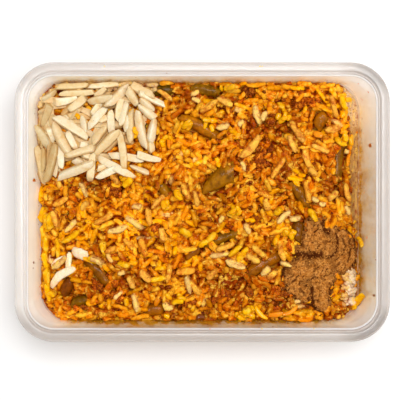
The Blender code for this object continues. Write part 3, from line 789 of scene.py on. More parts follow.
def bean_material():
    """Cooked green bean: olive-brown skin, with paler flesh where the extra number is 1."""
    n = Nodes(
        "bean_skin", Roughness=0.4, IOR=1.45, Specular_IOR_Level=0.07, Subsurface_Weight=0.04,
        Subsurface_Scale=0.001, Coat_Weight=0.10, Coat_Roughness=0.05,
    )
    dark, brown, olive, light = (96, 58, 0), (140, 88, 0), (172, 112, 2), (200, 138, 14)
    skin = n.ramp(n.noise(260, 5, 0.7), (0.28, dark), (0.46, brown), (0.62, olive), (0.80, light))
    sauce = n.ramp(n.noise(420, 4, 0.7), (0.58, 0.0), (0.70, 0.6))
    skin = n.mix(1.0, n.mix(sauce, skin, (200, 112, 10)), n.attribute("tint"), "MULTIPLY")
    flesh = n.ramp(n.noise(700, 4), (0.35, (150, 96, 12)), (0.65, (192, 138, 36)))
    n.give(Base_Color=n.mix(n.attribute("extra", "Fac"), skin, flesh))
    n.bump(n.noise(600, 5, 0.75, distortion=0.4), 0.0003)
    return n.material


def mince_material(name):
    """Fried mince, from near black to orange brown. Each crumb brings its tone, with painted shade in its
    creases.
    """
    n = Nodes(name, Roughness=0.5, IOR=1.45, Specular_IOR_Level=0.08, Coat_Weight=0.03, Coat_Roughness=0.1)
    black, brown, rust, orange = (84, 22, 0), (138, 56, 1), (180, 88, 6), (236, 150, 36)
    base = n.ramp(n.noise(470, 6, 0.85), (0.38, black), (0.47, brown), (0.54, rust), (0.64, orange))
    n.give(Base_Color=n.mix(0.8, base, n.attribute("tint"), "MULTIPLY"))
    n.bump(n.noise(1300, 5, 0.8), 0.0004)
    return n.material


def spice_material():
    """Dry ground spice, dark where the extra number is 1, partly as painted shade."""
    n = Nodes("ground_spice", Roughness=0.95, IOR=1.35, Specular_IOR_Level=0.1)
    base = n.ramp(n.noise(420, 6, 0.85), (0.32, (164, 92, 24)), (0.48, (196, 128, 52)), (0.66, (220, 156, 82)))
    grainy = n.ramp(n.noise(1500, 3, 0.8), (0.36, (150, 96, 44)), (0.52, PLAIN))
    speckled = n.mix(0.85, base, grainy, "MULTIPLY")
    n.give(Base_Color=n.mix(n.attribute("extra", "Fac"), speckled, (66, 20, 0)))
    n.bump(n.noise(1500, 4, 0.7), 0.0002)
    return n.material


def drop_material():
    """Smears, drips and specks of sauce."""
    n = Nodes("sauce", Roughness=0.3, Coat_Weight=0.3, Coat_Roughness=0.1)
    uneven = n.ramp(n.noise(900), (0.3, 0.5), (0.7, 1.0))
    n.give(Base_Color=n.mix(0.4, n.attribute("tint"), uneven, "MULTIPLY"))
    return n.material


# ---------------------------------------------------------------- the container

WALL_RINGS = 30
WALL_FOOT = 0.0042  # where the inner wall turns into the floor
PROFILE_BEND = 0.0004
SMEAR_HEIGHT = 0.0065


def rounded_profile(profile, reach):
    """The profile with each corner cut to a small curve."""
    points = [Vector(p) for p in profile]
    out = [points[0]]
    for before, here, after in zip(points, points[1:], points[2:]):
        back, ahead = before - here, after - here
        near = here + back * min(reach / back.length, 0.45)
        far = here + ahead * min(reach / ahead.length, 0.45)
        for t in (0.0, 0.33, 0.67, 1.0):
            out.append(near * (1 - t) ** 2 + here * 2 * t * (1 - t) + far * t * t)
    out.append(points[-1])
    return out


def wall_mark(x, y, z, inset, inner):
    """What the plastic's material reads at a point: how near the food is, or the groove and the ridge of the
    lip, which get painted shade and a painted highlight.
    """
    if inner:
        above = z - food_level(x * 0.97, y * 0.97)
        return 2.0 if above < -0.0012 else 0.3 + 0.7 * math.exp(-max(above, 0.0) / SMEAR_HEIGHT)
    if z > BOX_HEIGHT - 0.0020 and 0.0045 < inset < 0.0069:
        return -0.5 if inset < 0.0060 else -1.0
    return 0.0


def make_container():
    """A loft from the underside out to the lip, over it, and down the inner wall to the floor."""
    top, wall_top = BOX_HEIGHT, BOX_HEIGHT - WALL_TOP_DROP
    outer_low, inner_low = wall_inset(0.0034) - WALL, wall_inset(WALL_FOOT)
    profile = [
        (0.0240, FLOOR_PANEL_RISE), (0.0225, 0.0), (outer_low + 0.0044, 0.0), (outer_low + 0.0014, 0.0009),
        (outer_low, 0.0034), (wall_inset(wall_top - 0.0022) - WALL, wall_top - 0.0022),
        (0.0057, top - 0.0020), (WALL, top - 0.0015), (WALL, top - LIP_SKIRT), (0.0, top - LIP_SKIRT),
        (0.0, top - 0.0011), (0.00035, top - 0.0005), (0.0011, top - 0.00014), (0.0026, top), (0.0042, top),
        (0.0047, top - 0.0012), (0.0058, top - 0.0012), (0.0062, top - 0.0004), (0.0067, top - 0.0005),
        (WALL_TOP_INSET, wall_top),
    ]
    for step in range(1, WALL_RINGS):  # the inner wall has rings all the way down, for its smears
        z = wall_top + (WALL_FOOT - wall_top) * step / WALL_RINGS
        profile.append((wall_inset(z), z))
    profile += [
        (inner_low, WALL_FOOT), (inner_low + 0.0013, 0.0020), (inner_low + 0.0042, WALL),
        (0.0218, WALL), (0.0234, WALL + FLOOR_PANEL_RISE),
    ]
    fine = rounded_profile(profile, PROFILE_BEND)
    points, marks = [], []
    inner = False
    for inset, z in fine:
        inner = inner or (inset >= WALL_TOP_INSET and wall_top - 0.004 <= z <= wall_top + 1e-6)
        ring = rounded_ring(inset, z, corner_extra(z) if inner else 0.0)
        points += ring
        marks += [wall_mark(*point, inset, inner) for point in ring]
    sizes, faces = loft_faces(len(fine), len(points) // len(fine))
    obj = build("container_body", points, sizes, faces, plastic_material(), extra=marks)
    obj.data.set_sharp_from_angle(angle=math.radians(60))
    return ride(obj, "clear_plastic", "container")


# ---------------------------------------------------------------- beans and mince

BEAN_SIDES, BEAN_RINGS = 26, 38
# The cut ends, flesh sunk a little inside a rim of skin: share of the width, how far in, share of flesh.
BEAN_CUT = ((0.45, 0.0009, 1.0), (0.73, 0.0006, 1.0), (0.93, 0.00025, 0.7))
DARK_CRUMB = 2


def lying(across, down, heading, length, lift):
    """Middle and run of a straight piece as the CAD model lays it on the bare rice."""
    middle = from_photo(across, down)
    half = Vector((math.cos(heading), math.sin(heading))) * length / 2
    ends = []
    for point in (middle - half, middle + half):
        ends.append(Vector((point.x, point.y, rice_level(point.x, point.y) + lift)))
    return (ends[0] + ends[1]) / 2, ends[1] - ends[0]


def shape_at(shape, place):
    """Smooth reading of a list of (place, share)."""
    for (p0, s0), (p1, s1) in zip(shape, shape[1:]):
        if place <= p1:
            t = (place - p0) / (p1 - p0)
            return s0 + (s1 - s0) * ease(t) * 0.5 + (s1 - s0) * 0.5 * t
    return shape[-1][1]


def make_bean(number, bean, material, ground, draw):
    """A cut piece of green bean, wrinkled and a little bent. The first one is the large wedge."""
    across, down, length, width, heading_deg, share_above = bean
    heading = math.radians(heading_deg)
    middle, run = lying(across, down, heading, length, width * (share_above - 0.5))
    along = run.normalized()
    side = Vector((-along.y, along.x, 0)).normalized()
    up = along.cross(side)
    seed = Vector((number * 3.7, number * 1.3, 0.0))
    shade, green = draw.uniform(0.78, 1.02), draw.uniform(0.94, 1.08)
    red_share, green_share = BEAN_DARK.get(number, (1.0, 1.0))
    wedge = number == 1
    shape = WEDGE_SHAPE if wedge else BEAN_SHAPE
    points, extra = [], []

    def ring(place, share, push, flesh):
        x = (place - 0.5) * length
        end = ease((abs(place - 0.5) - 0.30) / 0.2)
        lean = (WEDGE_SLANT if wedge and place > 0.5 else BEAN_SLANT) * end
        bow = BEAN_BEND * length * math.sin(math.pi * place)
        radius = width / 2 * share
        for k in range(BEAN_SIDES):
            turn = math.tau * k / BEAN_SIDES
            cos, sin = math.cos(turn), math.sin(turn)
            y, z = radius * cos, radius * BEAN_FLATNESS * sin
            if wedge and y < 0:
                y *= 1 + WEDGE_BULGE * place
            wrinkle = noise.noise(Vector((x * 260, cos * 1.4, sin * 1.4)) + seed)
            fine = noise.noise(Vector((x * 500, cos * 4, sin * 4)) + seed)
            fold = abs(noise.noise(Vector((x * 150, cos * 2.2, sin * 2.2)) - seed))
            swell = 1 + 0.11 * wrinkle + 0.05 * fine - 0.09 * max(1 - fold / 0.12, 0.0)
            point = along * (x + push + lean * y) + side * (y * swell + bow) + up * (z * swell)
            points.append(tuple(middle + point))
            extra.append(flesh)

    places = [0.0, 0.012] + [0.012 + 0.976 * k / (BEAN_RINGS - 3) for k in range(1, BEAN_RINGS - 2)] + [1.0]
    for share, push, flesh in BEAN_CUT:
        ring(0.0, shape[0][1] * share, push, flesh)
    for place in places:
        ring(place, shape_at(shape, place), 0.0, 0.0)
    for share, push, flesh in reversed(BEAN_CUT):
        ring(1.0, shape[-1][1] * share, -push, flesh)
    sizes, faces = loft_faces(len(places) + 2 * len(BEAN_CUT), BEAN_SIDES)
    tint = (shade * red_share, shade * green * green_share, shade * 0.35 * green_share)
    obj = build(f"green_bean_{number:02d}", points, sizes, faces, material, tint, extra)
    ground.raise_dome(middle, (length / 2, width / 2, width / 2 * BEAN_FLATNESS), heading, 0.55, 4)
    return ride(obj, "bean", f"bean_{number:02d}")


def random_seed(draw):
    """A shift of the noise that makes each crumb another one."""
    return Vector((draw.uniform(0, 90), draw.uniform(0, 90), 0))


def lumpy(centre, size, turn, subdivisions, seed, rough=0.26):
    """Points, faces and crease shades of a knobbly crumb. The crease shades are painted shade, dark in its
    creases.
    """
    mesh = bmesh.new()
    bmesh.ops.create_icosphere(mesh, subdivisions=subdivisions, radius=1.0)
    cos, sin = math.cos(turn), math.sin(turn)
    points, crease_shades = [], []
    for vert in mesh.verts:
        direction = vert.co.copy()
        big = noise.noise(direction * 1.7 + seed)
        mid = abs(noise.noise(direction * 3.6 + seed * 1.7))
        small = noise.noise(direction * 8.0 + seed * 2.3)
        knob = 0.88 + rough * big + 0.34 * mid + 0.10 * small
        shade = 0.5 + 1.5 * mid + 0.6 * small
        if subdivisions > 3:
            crag = abs(noise.noise(direction * 5.5 + seed))
            fine = abs(noise.noise(direction * 12.0 + seed))
            knob += 0.42 * crag + 0.20 * fine - 0.12
            shade = 0.12 + 0.8 * mid + 2.3 * crag + 1.4 * fine
        crease_shades.append(min(max(shade, 0.22), 1.45))
        x, y, z = (direction[i] * size[i] * knob for i in range(3))
        points.append((centre[0] + x * cos - y * sin, centre[1] + x * sin + y * cos, centre[2] + z))
    faces = [[v.index for v in f.verts] for f in mesh.faces]
    mesh.free()
    return points, faces, crease_shades


def make_mince(number, crumb, material, ground, draw):
    """A crumb of mince. All but the dark one get a few grains of rice on them later."""
    across, down, length, width, heading_deg = crumb
    heading = math.radians(heading_deg)
    middle, _ = lying(across, down, heading, length, MINCE_LIFT)
    size = (length / 2, width / 2, MINCE_HEIGHT / 2)
    seed = Vector((across, down, 0.0)) * 0.37
    points, faces, crease_shades = lumpy(middle, size, heading, 5, seed)
    shade = draw.uniform(0.8, 1.15) * (0.5 if number == DARK_CRUMB else 1.0)
    tint = np.array(crease_shades)[:, None] * np.array((shade, shade * 0.95, shade * 0.85))
    name = f"mince_crumb_{number:02d}"
    obj = build(name, points, [3] * len(faces), np.array(faces).ravel(), material, tint)
    ground.raise_dome(middle, size, heading, 0.62)
    if number != DARK_CRUMB:
        ground.crumbs.append((middle.x, middle.y, size[0], size[1]))
    return ride(obj, "mince", f"mince_{number:02d}")


# ---------------------------------------------------------------- rice

GRAIN_SHAPE = ((0.0, 0.28), (0.03, 0.58), (0.11, 0.86), (0.30, 1.0), (0.5, 0.97), (0.70, 1.0), (0.89, 0.86),
               (0.97, 0.58), (1.0, 0.28))
LEAF_SHAPE = ((0.0, 0.30), (0.03, 0.56), (0.12, 0.82), (0.3, 0.96), (0.5, 1.0), (0.7, 0.94), (0.87, 0.76),
              (0.97, 0.50), (1.0, 0.26))
LOW_SHAPE = ((0.0, 0.3), (0.10, 0.85), (0.5, 1.0), (0.90, 0.85), (1.0, 0.3))

# Colours of the grains, and of the sauce that tints most of them.
SAUCE = np.array((0.93, 0.80, 0.14))
ORANGE = (linear(240, 154, 24), linear(236, 146, 20), linear(243, 162, 34), linear(228, 134, 16))
PALE = (linear(245, 184, 76), linear(243, 176, 62), linear(247, 196, 104), linear(241, 168, 48))
YELLOW = (linear(251, 190, 4), linear(248, 176, 8), linear(250, 184, 14))
WHITE = (linear(246, 212, 136), linear(243, 200, 112))
WHITE_SHARE = 0.010
ALMOND_WALL = (-0.022, 0.012, 0.0045)  # left of, behind, and nearer the wall than this, the rice is pale

BED_DROP = 0.0024  # how far the ground for the first grains is below the bare rice
BED_SINK = 0.00036  # how far the soft mass is below the tops of the grains that it joins
BED_ACROSS, BED_DEEP = 280, 204  # faces of the soft mass along and across
BED_INTO_WALL = 0.00015
BED_SIDE = linear(206, 112, 14)
# Layers of grains: name, how many, and how far above the bare rice they may lie.
LAYERS = (("deep", 600, 0.0), ("middle", 850, 0.0008), ("top", 1060, 0.0017))
RICE_X, RICE_Y = 0.083, 0.0605  # how far from the middle the middles of grains may be
GRAIN_LENGTHS = ((0.0078, 0.0104), (0.0060, 0.0090), (0.0035, 0.0066))  # whole, short and broken grains
GRAIN_RADII = (0.00102, 0.00132)
GRAIN_FLATNESS = 0.88
DARKEST_DEPTH = 0.0022  # rice this far below the bare rice has its darkest colour
MUSH_SHAPES = ((1.0, 0.8, 0.7), (1.6, 0.9, 0.75), (1.2, 1.0, 0.6), (2.0, 0.8, 0.7))
MUSH_COUNT = 750
CRUMB_COUNT = 620
GRAINS_ON_CRUMB = 3
WALL_GRAINS = 1700
CLUMP_GRAINS = 66
# Bits that lean on the right-hand wall: low and high end in pixels, radius, flatness.
LEANING = (
    ((352, 308), (363.5, 294), 0.0022, 0.4), ((358.5, 237), (362.5, 247), 0.0014, 0.7),
    ((351, 300), (355, 309), 0.0016, 0.5),
)
# Where the rice is yellow, and where it is redder: pixel across, pixel down, reach in pixels, strength.
YELLOW_PATCHES = (
    (43, 250, 22, 1.0), (75, 232, 22, 0.5), (128, 255, 30, 0.45), (95, 235, 20, 0.4), (150, 205, 22, 0.35),
    (170, 310, 25, 0.5), (190, 215, 18, 0.4), (260, 245, 28, 0.45), (220, 100, 18, 0.5), (350, 110, 18, 0.5),
    (300, 125, 30, 0.3), (240, 315, 24, 0.5), (180, 232, 22, 0.45), (186, 128, 16, 0.4), (280, 230, 20, 0.4),
)
RED_PATCHES = (
    (262, 158, 30, 1.0), (240, 128, 20, 0.7), (70, 200, 22, 0.5), (225, 290, 30, 0.9), (300, 102, 18, 0.8),
    (110, 288, 26, 0.6), (270, 295, 24, 0.9), (170, 262, 20, 0.4), (318, 140, 16, 0.5), (262, 222, 16, 0.4),
)


# Grains that stand out in the photograph: the colour, then both ends in pixels and the width in tenths
# of a millimetre.
MARKED = {
    "yellow": (linear(250, 186, 4), (
        (43, 207, 41, 222, 32), (46, 214, 46, 232, 40), (51, 212, 50, 230, 36), (41, 226, 44, 243, 28),
        (45, 236, 44, 254, 28), (43, 252, 46, 270, 26), (46, 268, 46, 288, 28), (45, 284, 48, 302, 30),
        (48, 292, 54, 297, 24), (55, 238, 58, 258, 24), (62, 243, 80, 231, 26), (90, 256, 102, 262, 24),
        (118, 262, 130, 266, 26), (124, 187, 132, 178, 36), (103, 241, 105, 255, 24),
        (205, 244, 216, 233, 30), (179, 230, 191, 236, 34), (237, 262, 248, 247, 26),
        (150, 281, 166, 278, 26), (175, 190, 182, 200, 28), (308, 209, 316, 223, 30),
        (340, 96, 345, 110, 30), (199, 247, 208, 240, 28), (242, 312, 251, 308, 34),
        (229, 256, 241, 245, 25), (274, 214, 281, 209, 32), (335, 138, 346, 146, 27),
        (172, 303, 184, 299, 28),
    )),
    "pale": (linear(246, 190, 84), (
        (95, 224, 113, 214, 27), (152, 208, 164, 195, 26), (182, 184, 189, 199, 28),
        (194, 191, 197, 207, 25), (176, 272, 195, 270, 30), (167, 282, 170, 264, 26),
        (140, 270, 151, 281, 26), (216, 250, 235, 243, 26), (160, 228, 163, 241, 27),
        (147, 208, 151, 225, 25), (124, 239, 133, 249, 26), (141, 238, 146, 257, 26),
        (217, 98, 232, 107, 28), (200, 112, 217, 101, 27), (241, 158, 259, 137, 34),
        (271, 178, 284, 159, 27), (303, 150, 309, 168, 28), (308, 168, 316, 176, 30),
        (297, 131, 303, 143, 26), (330, 96, 335, 118, 26), (311, 145, 328, 153, 25),
        (304, 181, 309, 202, 26), (328, 200, 337, 191, 28), (264, 199, 269, 211, 27),
        (258, 192, 270, 198, 26), (334, 120, 353, 114, 25), (324, 131, 340, 127, 29),
        (345, 184, 351, 202, 26), (290, 122, 299, 138, 26), (288, 136, 295, 153, 27),
        (53, 206, 68, 197, 27), (53, 211, 57, 227, 24), (252, 246, 265, 257, 26), (246, 255, 259, 262, 28),
        (207, 279, 216, 271, 28), (190, 281, 200, 294, 26), (279, 244, 284, 261, 24),
        (158, 91, 172, 101, 25), (267, 279, 276, 271, 30), (106, 252, 116, 247, 25),
        (128, 277, 134, 288, 25), (111, 175, 119, 184, 26), (56, 179, 60, 188, 25), (82, 210, 88, 202, 26),
    )),
    "white": (linear(243, 205, 120), (
        (52, 268, 66, 257, 28), (108, 232, 128, 226, 26), (126, 217, 143, 229, 26),
        (186, 276, 190, 294, 26), (133, 294, 138, 311, 24), (92, 257, 103, 263, 24),
        (226, 260, 245, 268, 25), (210, 256, 228, 254, 24), (277, 223, 290, 211, 28),
        (289, 219, 300, 218, 26), (262, 275, 269, 267, 34), (244, 224, 250, 233, 24),
        (219, 222, 223, 216, 24), (254, 106, 259, 125, 26), (261, 121, 266, 112, 26),
        (238, 126, 243, 121, 26), (216, 129, 229, 125, 26), (191, 96, 199, 92, 24), (192, 99, 200, 103, 22),
        (132, 207, 142, 206, 26), (65, 232, 76, 220, 25), (81, 183, 87, 197, 20), (241, 162, 245, 171, 22),
        (311, 198, 318, 202, 24), (319, 203, 325, 205, 22), (346, 206, 350, 215, 24),
        (280, 262, 292, 267, 23), (345, 150, 348, 153, 24), (163, 304, 172, 309, 30),
        (118, 274, 125, 272, 22),
    )),
}
# Where the rice as a whole is darker, in places as painted shadow beside the beans, and where it is lighter,
# as for the yellow and the redder rice.
DARK_PATCHES = (
    (168, 116, 14, 0.6), (72, 168, 12, 0.45), (86, 184, 10, 0.6), (220, 195, 13, 0.7), (331, 160, 8, 0.8),
    (310, 220, 14, 0.8), (268, 284, 20, 0.65), (230, 254, 10, 0.9), (194, 276, 10, 0.6), (140, 308, 9, 0.8),
    (300, 311, 10, 0.5), (284, 256, 9, 0.4), (240, 183, 8, 0.3), (320, 190, 9, 0.3), (86, 290, 14, 0.25),
)
LIGHT_PATCHES = (
    (132, 246, 18, 0.6), (176, 250, 12, 0.45), (70, 218, 13, 0.5), (104, 200, 10, 0.35), (166, 182, 12, 0.4),
    (248, 140, 12, 0.6), (302, 146, 11, 0.5), (340, 102, 14, 0.6), (182, 92, 9, 0.5), (220, 271, 12, 0.35),
    (266, 226, 10, 0.4), (170, 308, 10, 0.4), (302, 184, 10, 0.4), (338, 308, 9, 0.3), (350, 126, 12, 0.4),
)


def noise_at(x, y, scale, layer):
    """Smooth noise over the rice. Each layer is another one."""
    return noise.noise(Vector((x * scale, y * scale, layer)))


def patch_share(patches, x, y):
    """How far a place is in the patches, from 0 to 1."""
    across, down = to_photo(x, y)
    shares = (w * math.exp(-((across - a) ** 2 + (down - b) ** 2) / r**2) for a, b, r, w in patches)
    return min(sum(shares), 1.0)


def pick_colour(x, y, draw):
    """The kind and colour of a grain at a place. Neighbours are much alike, as sauce runs over them."""
    drift, dull = noise_at(x, y, 95, 4.0), noise_at(x, y, 210, 9.0)
    cloud = noise_at(x, y, 62, 15.0) + 0.5 * noise_at(x, y, 125, 5.0)
    light, dark = patch_share(LIGHT_PATCHES, x, y), patch_share(DARK_PATCHES, x, y)
    red = min(patch_share(RED_PATCHES, x, y) + 0.6 * max(-drift - 0.08, 0), 1.0)
    yellow = 0.17 + 0.6 * patch_share(YELLOW_PATCHES, x, y) + 0.6 * max(drift, 0)
    yellow = yellow * (1 - 0.75 * red) + 0.3 * light
    red *= 1 - 0.7 * light
    pale = (0.34 + 0.4 * dull + 0.5 * cloud + 0.4 * light) * (1 - 0.5 * red)
    chance = draw.random()
    if chance < yellow:
        kind, colours = "yellow", YELLOW + ORANGE[:1]
    elif chance < yellow + pale:
        kind, colours = "pale", PALE
    else:
        kind, colours = "orange", ORANGE
    sauce = SAUCE
    if draw.random() < WHITE_SHARE:
        kind, colours, sauce = "pale", WHITE, 1.0
    colour = np.array(draw.choice(colours)) * draw.uniform(0.93, 1.08)
    colour = colour * (1 + 0.20 * dull + 0.26 * cloud) * sauce
    # Darker patches, some of them painted shadow beside the beans, and random cloud make the rice darker and
    # redder.
    gloom = min(max(-cloud - 0.08, 0.0) * 1.9 + dark, 0.9)
    colour = colour * (1 + 0.35 * light) * (1 - gloom * np.array((0.44, 0.66, 0.80)))
    if kind != "yellow":
        colour = colour * (1 - red * np.array((0.20, 0.36, 0.5)))
    if x < ALMOND_WALL[0] and y > ALMOND_WALL[1] and room_to_wall(x, y, RICE_LEVEL) < ALMOND_WALL[2]:
        kind, colour = "pale", np.array(linear(222, 188, 130)) * draw.uniform(0.85, 1.0)
    return kind, colour


def on_open_rice(x, y):
    """Whether a place is on rice with whole grains that neither the almonds nor the spice cover."""
    if in_outline(to_photo(x, y), ALMOND_EDGE) or outline_depth((x, y), SPICE_OUTLINE) > 0:
        return False
    return x <= grains_end(y)


def blurred(values, times):
    """A grid smoothed along both of its axes, a number of times."""
    for _ in range(times):
        for axis in (0, 1):
            values = (np.roll(values, 1, axis) + 2 * values + np.roll(values, -1, axis)) / 4
    return values


def bed_colours(ground, places, cells, soft):
    """Colours of the soft mass: the grains' own, darker in the gaps as painted shade, and a smear where no
    grains lie.
    """
    gap_shade = np.clip((blurred(ground.skin, 9) - soft) / 0.0010, 0.0, 1.0)
    paint = np.stack([blurred(ground.paint[..., k], 2) for k in range(3)], axis=-1)
    paint = paint * (1 - gap_shade[..., None] * np.array((0.55, 0.86, 0.98)))
    smeared = np.array([ease((x - grains_end(y) + 0.0012) / 0.0014) for x, y in places])[:, None]
    paler = np.array([ease((y - 0.034) / 0.012) for _, y in places])[:, None]
    smear = np.array(linear(206, 160, 92)) * (1 - paler) + np.array(linear(240, 210, 160)) * paler
    return (paint[cells] * (1 - smeared) + smear * smeared).tolist()


def make_bed(ground):
    """The soft mass of rice that joins the grains, filling the container and reaching just into its wall."""
    # A square grid is pulled in to the rounded outline of the wall, which keeps its faces even.
    u, v = np.meshgrid(np.linspace(-1, 1, BED_ACROSS + 1), np.linspace(-1, 1, BED_DEEP + 1))
    places = np.array([fit_to_wall(a, b, -BED_INTO_WALL) for a, b in zip(u.ravel(), v.ravel())])
    cells = ground.cell(places[:, 0], places[:, 1])
    soft = blurred(ground.skin, 1)
    relief = np.array([noise.noise(Vector((x, y, 0.2)) * 520) for x, y in places])
    points = np.column_stack((places, (soft - BED_SINK)[cells] + 0.00035 * relief)).tolist()
    colours = bed_colours(ground, places, cells, soft)
    index = np.arange(len(points)).reshape(BED_DEEP + 1, BED_ACROSS + 1)
    quads = grid_faces(index)
    sizes, faces = [4] * len(quads), quads.ravel().tolist()
    rings = [list(index[0, :-1]) + list(index[:-1, -1]) + list(index[-1, :0:-1]) + list(index[:0:-1, 0])]

    def add_ring(ring):
        rings.append(list(range(len(points), len(points) + len(ring))))
        points.extend(ring)
        colours.extend([BED_SIDE] * len(ring))

    border = [points[k] for k in rings[0]]
    for share in (0.25, 0.5, 0.75, 0.9, 1.0):
        ring = []
        for x, y, z in border:
            low = z + (0.0044 - z) * share
            ring.append([*wall_point(*direction_of(x, y), low, -BED_INTO_WALL), low])
        add_ring(ring)
    for inset, low in ((0.0012, 0.0022), (0.0042, WALL - 0.0002)):
        shrink = 1 - inset / 0.06
        ring = [[x * shrink, y * shrink, low] for x, y, _ in ring]
        add_ring(ring)
    for upper, lower in zip(rings, rings[1:]):
        for k in range(len(upper)):
            after = (k + 1) % len(upper)
            sizes.append(4)
            faces += [upper[k], lower[k], lower[after], upper[after]]
    sizes.append(len(rings[-1]))
    faces += rings[-1][::-1]
    obj = build("rice_bed", points, sizes, faces, grain_material("rice_bed", 0.45, 0.8), np.array(colours))
    return ride(obj, "rice", "rice")


def direction_of(x, y):
    """The point on the lip's bounding rectangle, straight out from the middle through (x, y)."""
    reach = max(abs(x) / (BOX_LENGTH / 2), abs(y) / (BOX_WIDTH / 2), 1e-9)
    return x / reach, y / reach


def wall_point(x, y, z, clearance):
    """The point on the inner wall's face, clearance inside it, on the way from the middle to (x, y)."""
    low, high = 0.0, 1.2
    for _ in range(24):
        middle = (low + high) / 2
        if room_to_wall(x * middle, y * middle, z) > clearance:
            low = middle
        else:
            high = middle
    return x * low, y * low


def fit_to_wall(u, v, clearance):
    """A place for grid coordinates from -1 to 1: the square's edge lies on the wall's rounded outline."""
    far = max(abs(u), abs(v))
    if far < 1e-9:
        return 0.0, 0.0
    edge_x, edge_y = u / far * BOX_LENGTH / 2, v / far * BOX_WIDTH / 2
    z = food_level(edge_x * 0.88, edge_y * 0.88)
    out_x, out_y = wall_point(edge_x, edge_y, z - 0.0010, clearance)
    # Inside, the grid is nearly square; it turns into the rounded outline only near the edge.
    plain_x, plain_y = u * (BOX_LENGTH / 2 - wall_inset(z)), v * (BOX_WIDTH / 2 - wall_inset(z))
    blend = ease((far - 0.80) / 0.20)
    return out_x * far * blend + plain_x * (1 - blend), out_y * far * blend + plain_y * (1 - blend)


def lay_grain(ground, kinds, place, heading, length, radius, draw, top_limit=1.0, colour=None, force=False):
    """Lays one grain where it rests, unless it lies too high, in the wall or on something kept in view."""
    x, y = place
    steepest = 0.35 if force else 1.25 if abs(x) > RICE_FALL_FROM else 0.8
    z, slope = ground.rest(x, y, heading, length, radius, steepest)
    rise = z - ground.level_at(x, y)
    if not force and rise > top_limit:
        return False
    if not clear_of_wall(x, y, z + radius, slope, heading, length, 0.85 * radius):
        return False
    if not force and ground.covered(x, y, heading, length) > 0.25:
        return False
    centre = (x, y, z + radius * 0.78)
    kind, tint = colour or pick_colour(x, y, draw)
    if rise < -0.0006 and not force:
        kind = "deep"
    bend = length * draw.uniform(0.0, 0.09)
    bend_turn = draw.choice((0.0, math.pi)) + draw.uniform(-0.5, 0.5)
    # A grain's colour grows darker and redder with depth: painted shade in the gaps, and sauce that gathers
    # there.
    depth = min(max(-rise / DARKEST_DEPTH, 0.0), 1.0)
    tint = np.array(tint) * (1 - depth * np.array((0.33, 0.64, 0.88)))
    run = (math.cos(heading), math.sin(heading), slope)
    long = length * math.hypot(1, slope) ** 0.5
    kinds[kind].add(centre, run, long, radius, GRAIN_FLATNESS, bend, bend_turn, tint, draw.uniform(-0.6, 0.6))
    ground.raise_rod(centre, slope, heading, length, radius, GRAIN_FLATNESS, tint)
    return True


def scatter_rice(ground, draw):
    """Grains all over, in layers, each at the lowest of a few places, and some on the crumbs of mince."""
    kinds = {"orange": Rods(), "pale": Rods(), "yellow": Rods(), "deep": Rods(), "wall": Rods()}
    for layer, wanted, limit in LAYERS:
        laid = 0
        for _ in range(wanted * 12):
            if laid >= wanted:
                break
            spots = [(draw.uniform(-RICE_X, RICE_X), draw.uniform(-RICE_Y, RICE_Y)) for _ in range(4)]
            x, y = min(spots, key=lambda spot: ground.at(*spot) - ground.level_at(*spot))
            if layer == "top" and outline_depth((x, y), ALMOND_OUTLINE) > 0.003:
                continue
            if layer == "top" and outline_depth((x, y), SPICE_OUTLINE) > 0.001:
                continue
            length = draw.choice([draw.uniform(*span) for span in GRAIN_LENGTHS])
            radius = draw.uniform(*GRAIN_RADII) * (1.08 if length < 0.006 else 1.0)
            heading = draw.uniform(0, math.pi)
            # By the walls more grains lie along them.
            if abs(abs(x) - 0.0825) < 0.004 and draw.random() < 0.6:
                heading = math.pi / 2 + draw.uniform(-0.3, 0.3)
            if abs(abs(y) - 0.0595) < 0.004 and draw.random() < 0.6:
                heading = draw.uniform(-0.3, 0.3)
            laid += lay_grain(ground, kinds, (x, y), heading, length, radius, draw, limit)
    for x, y, reach_x, reach_y in ground.crumbs:
        for _ in range(GRAINS_ON_CRUMB):
            turn, far = draw.uniform(0, math.tau), draw.uniform(0.35, 1.0)
            place = (x + reach_x * far * math.cos(turn), y + reach_y * far * math.sin(turn))
            length, radius = draw.uniform(0.0028, 0.0055), draw.uniform(0.0009, 0.0011)
            if ground.at(*place) < ground.level_at(*place) + 0.0042:
                lay_grain(ground, kinds, place, draw.uniform(0, math.pi), length, radius, draw, force=True)
    return kinds


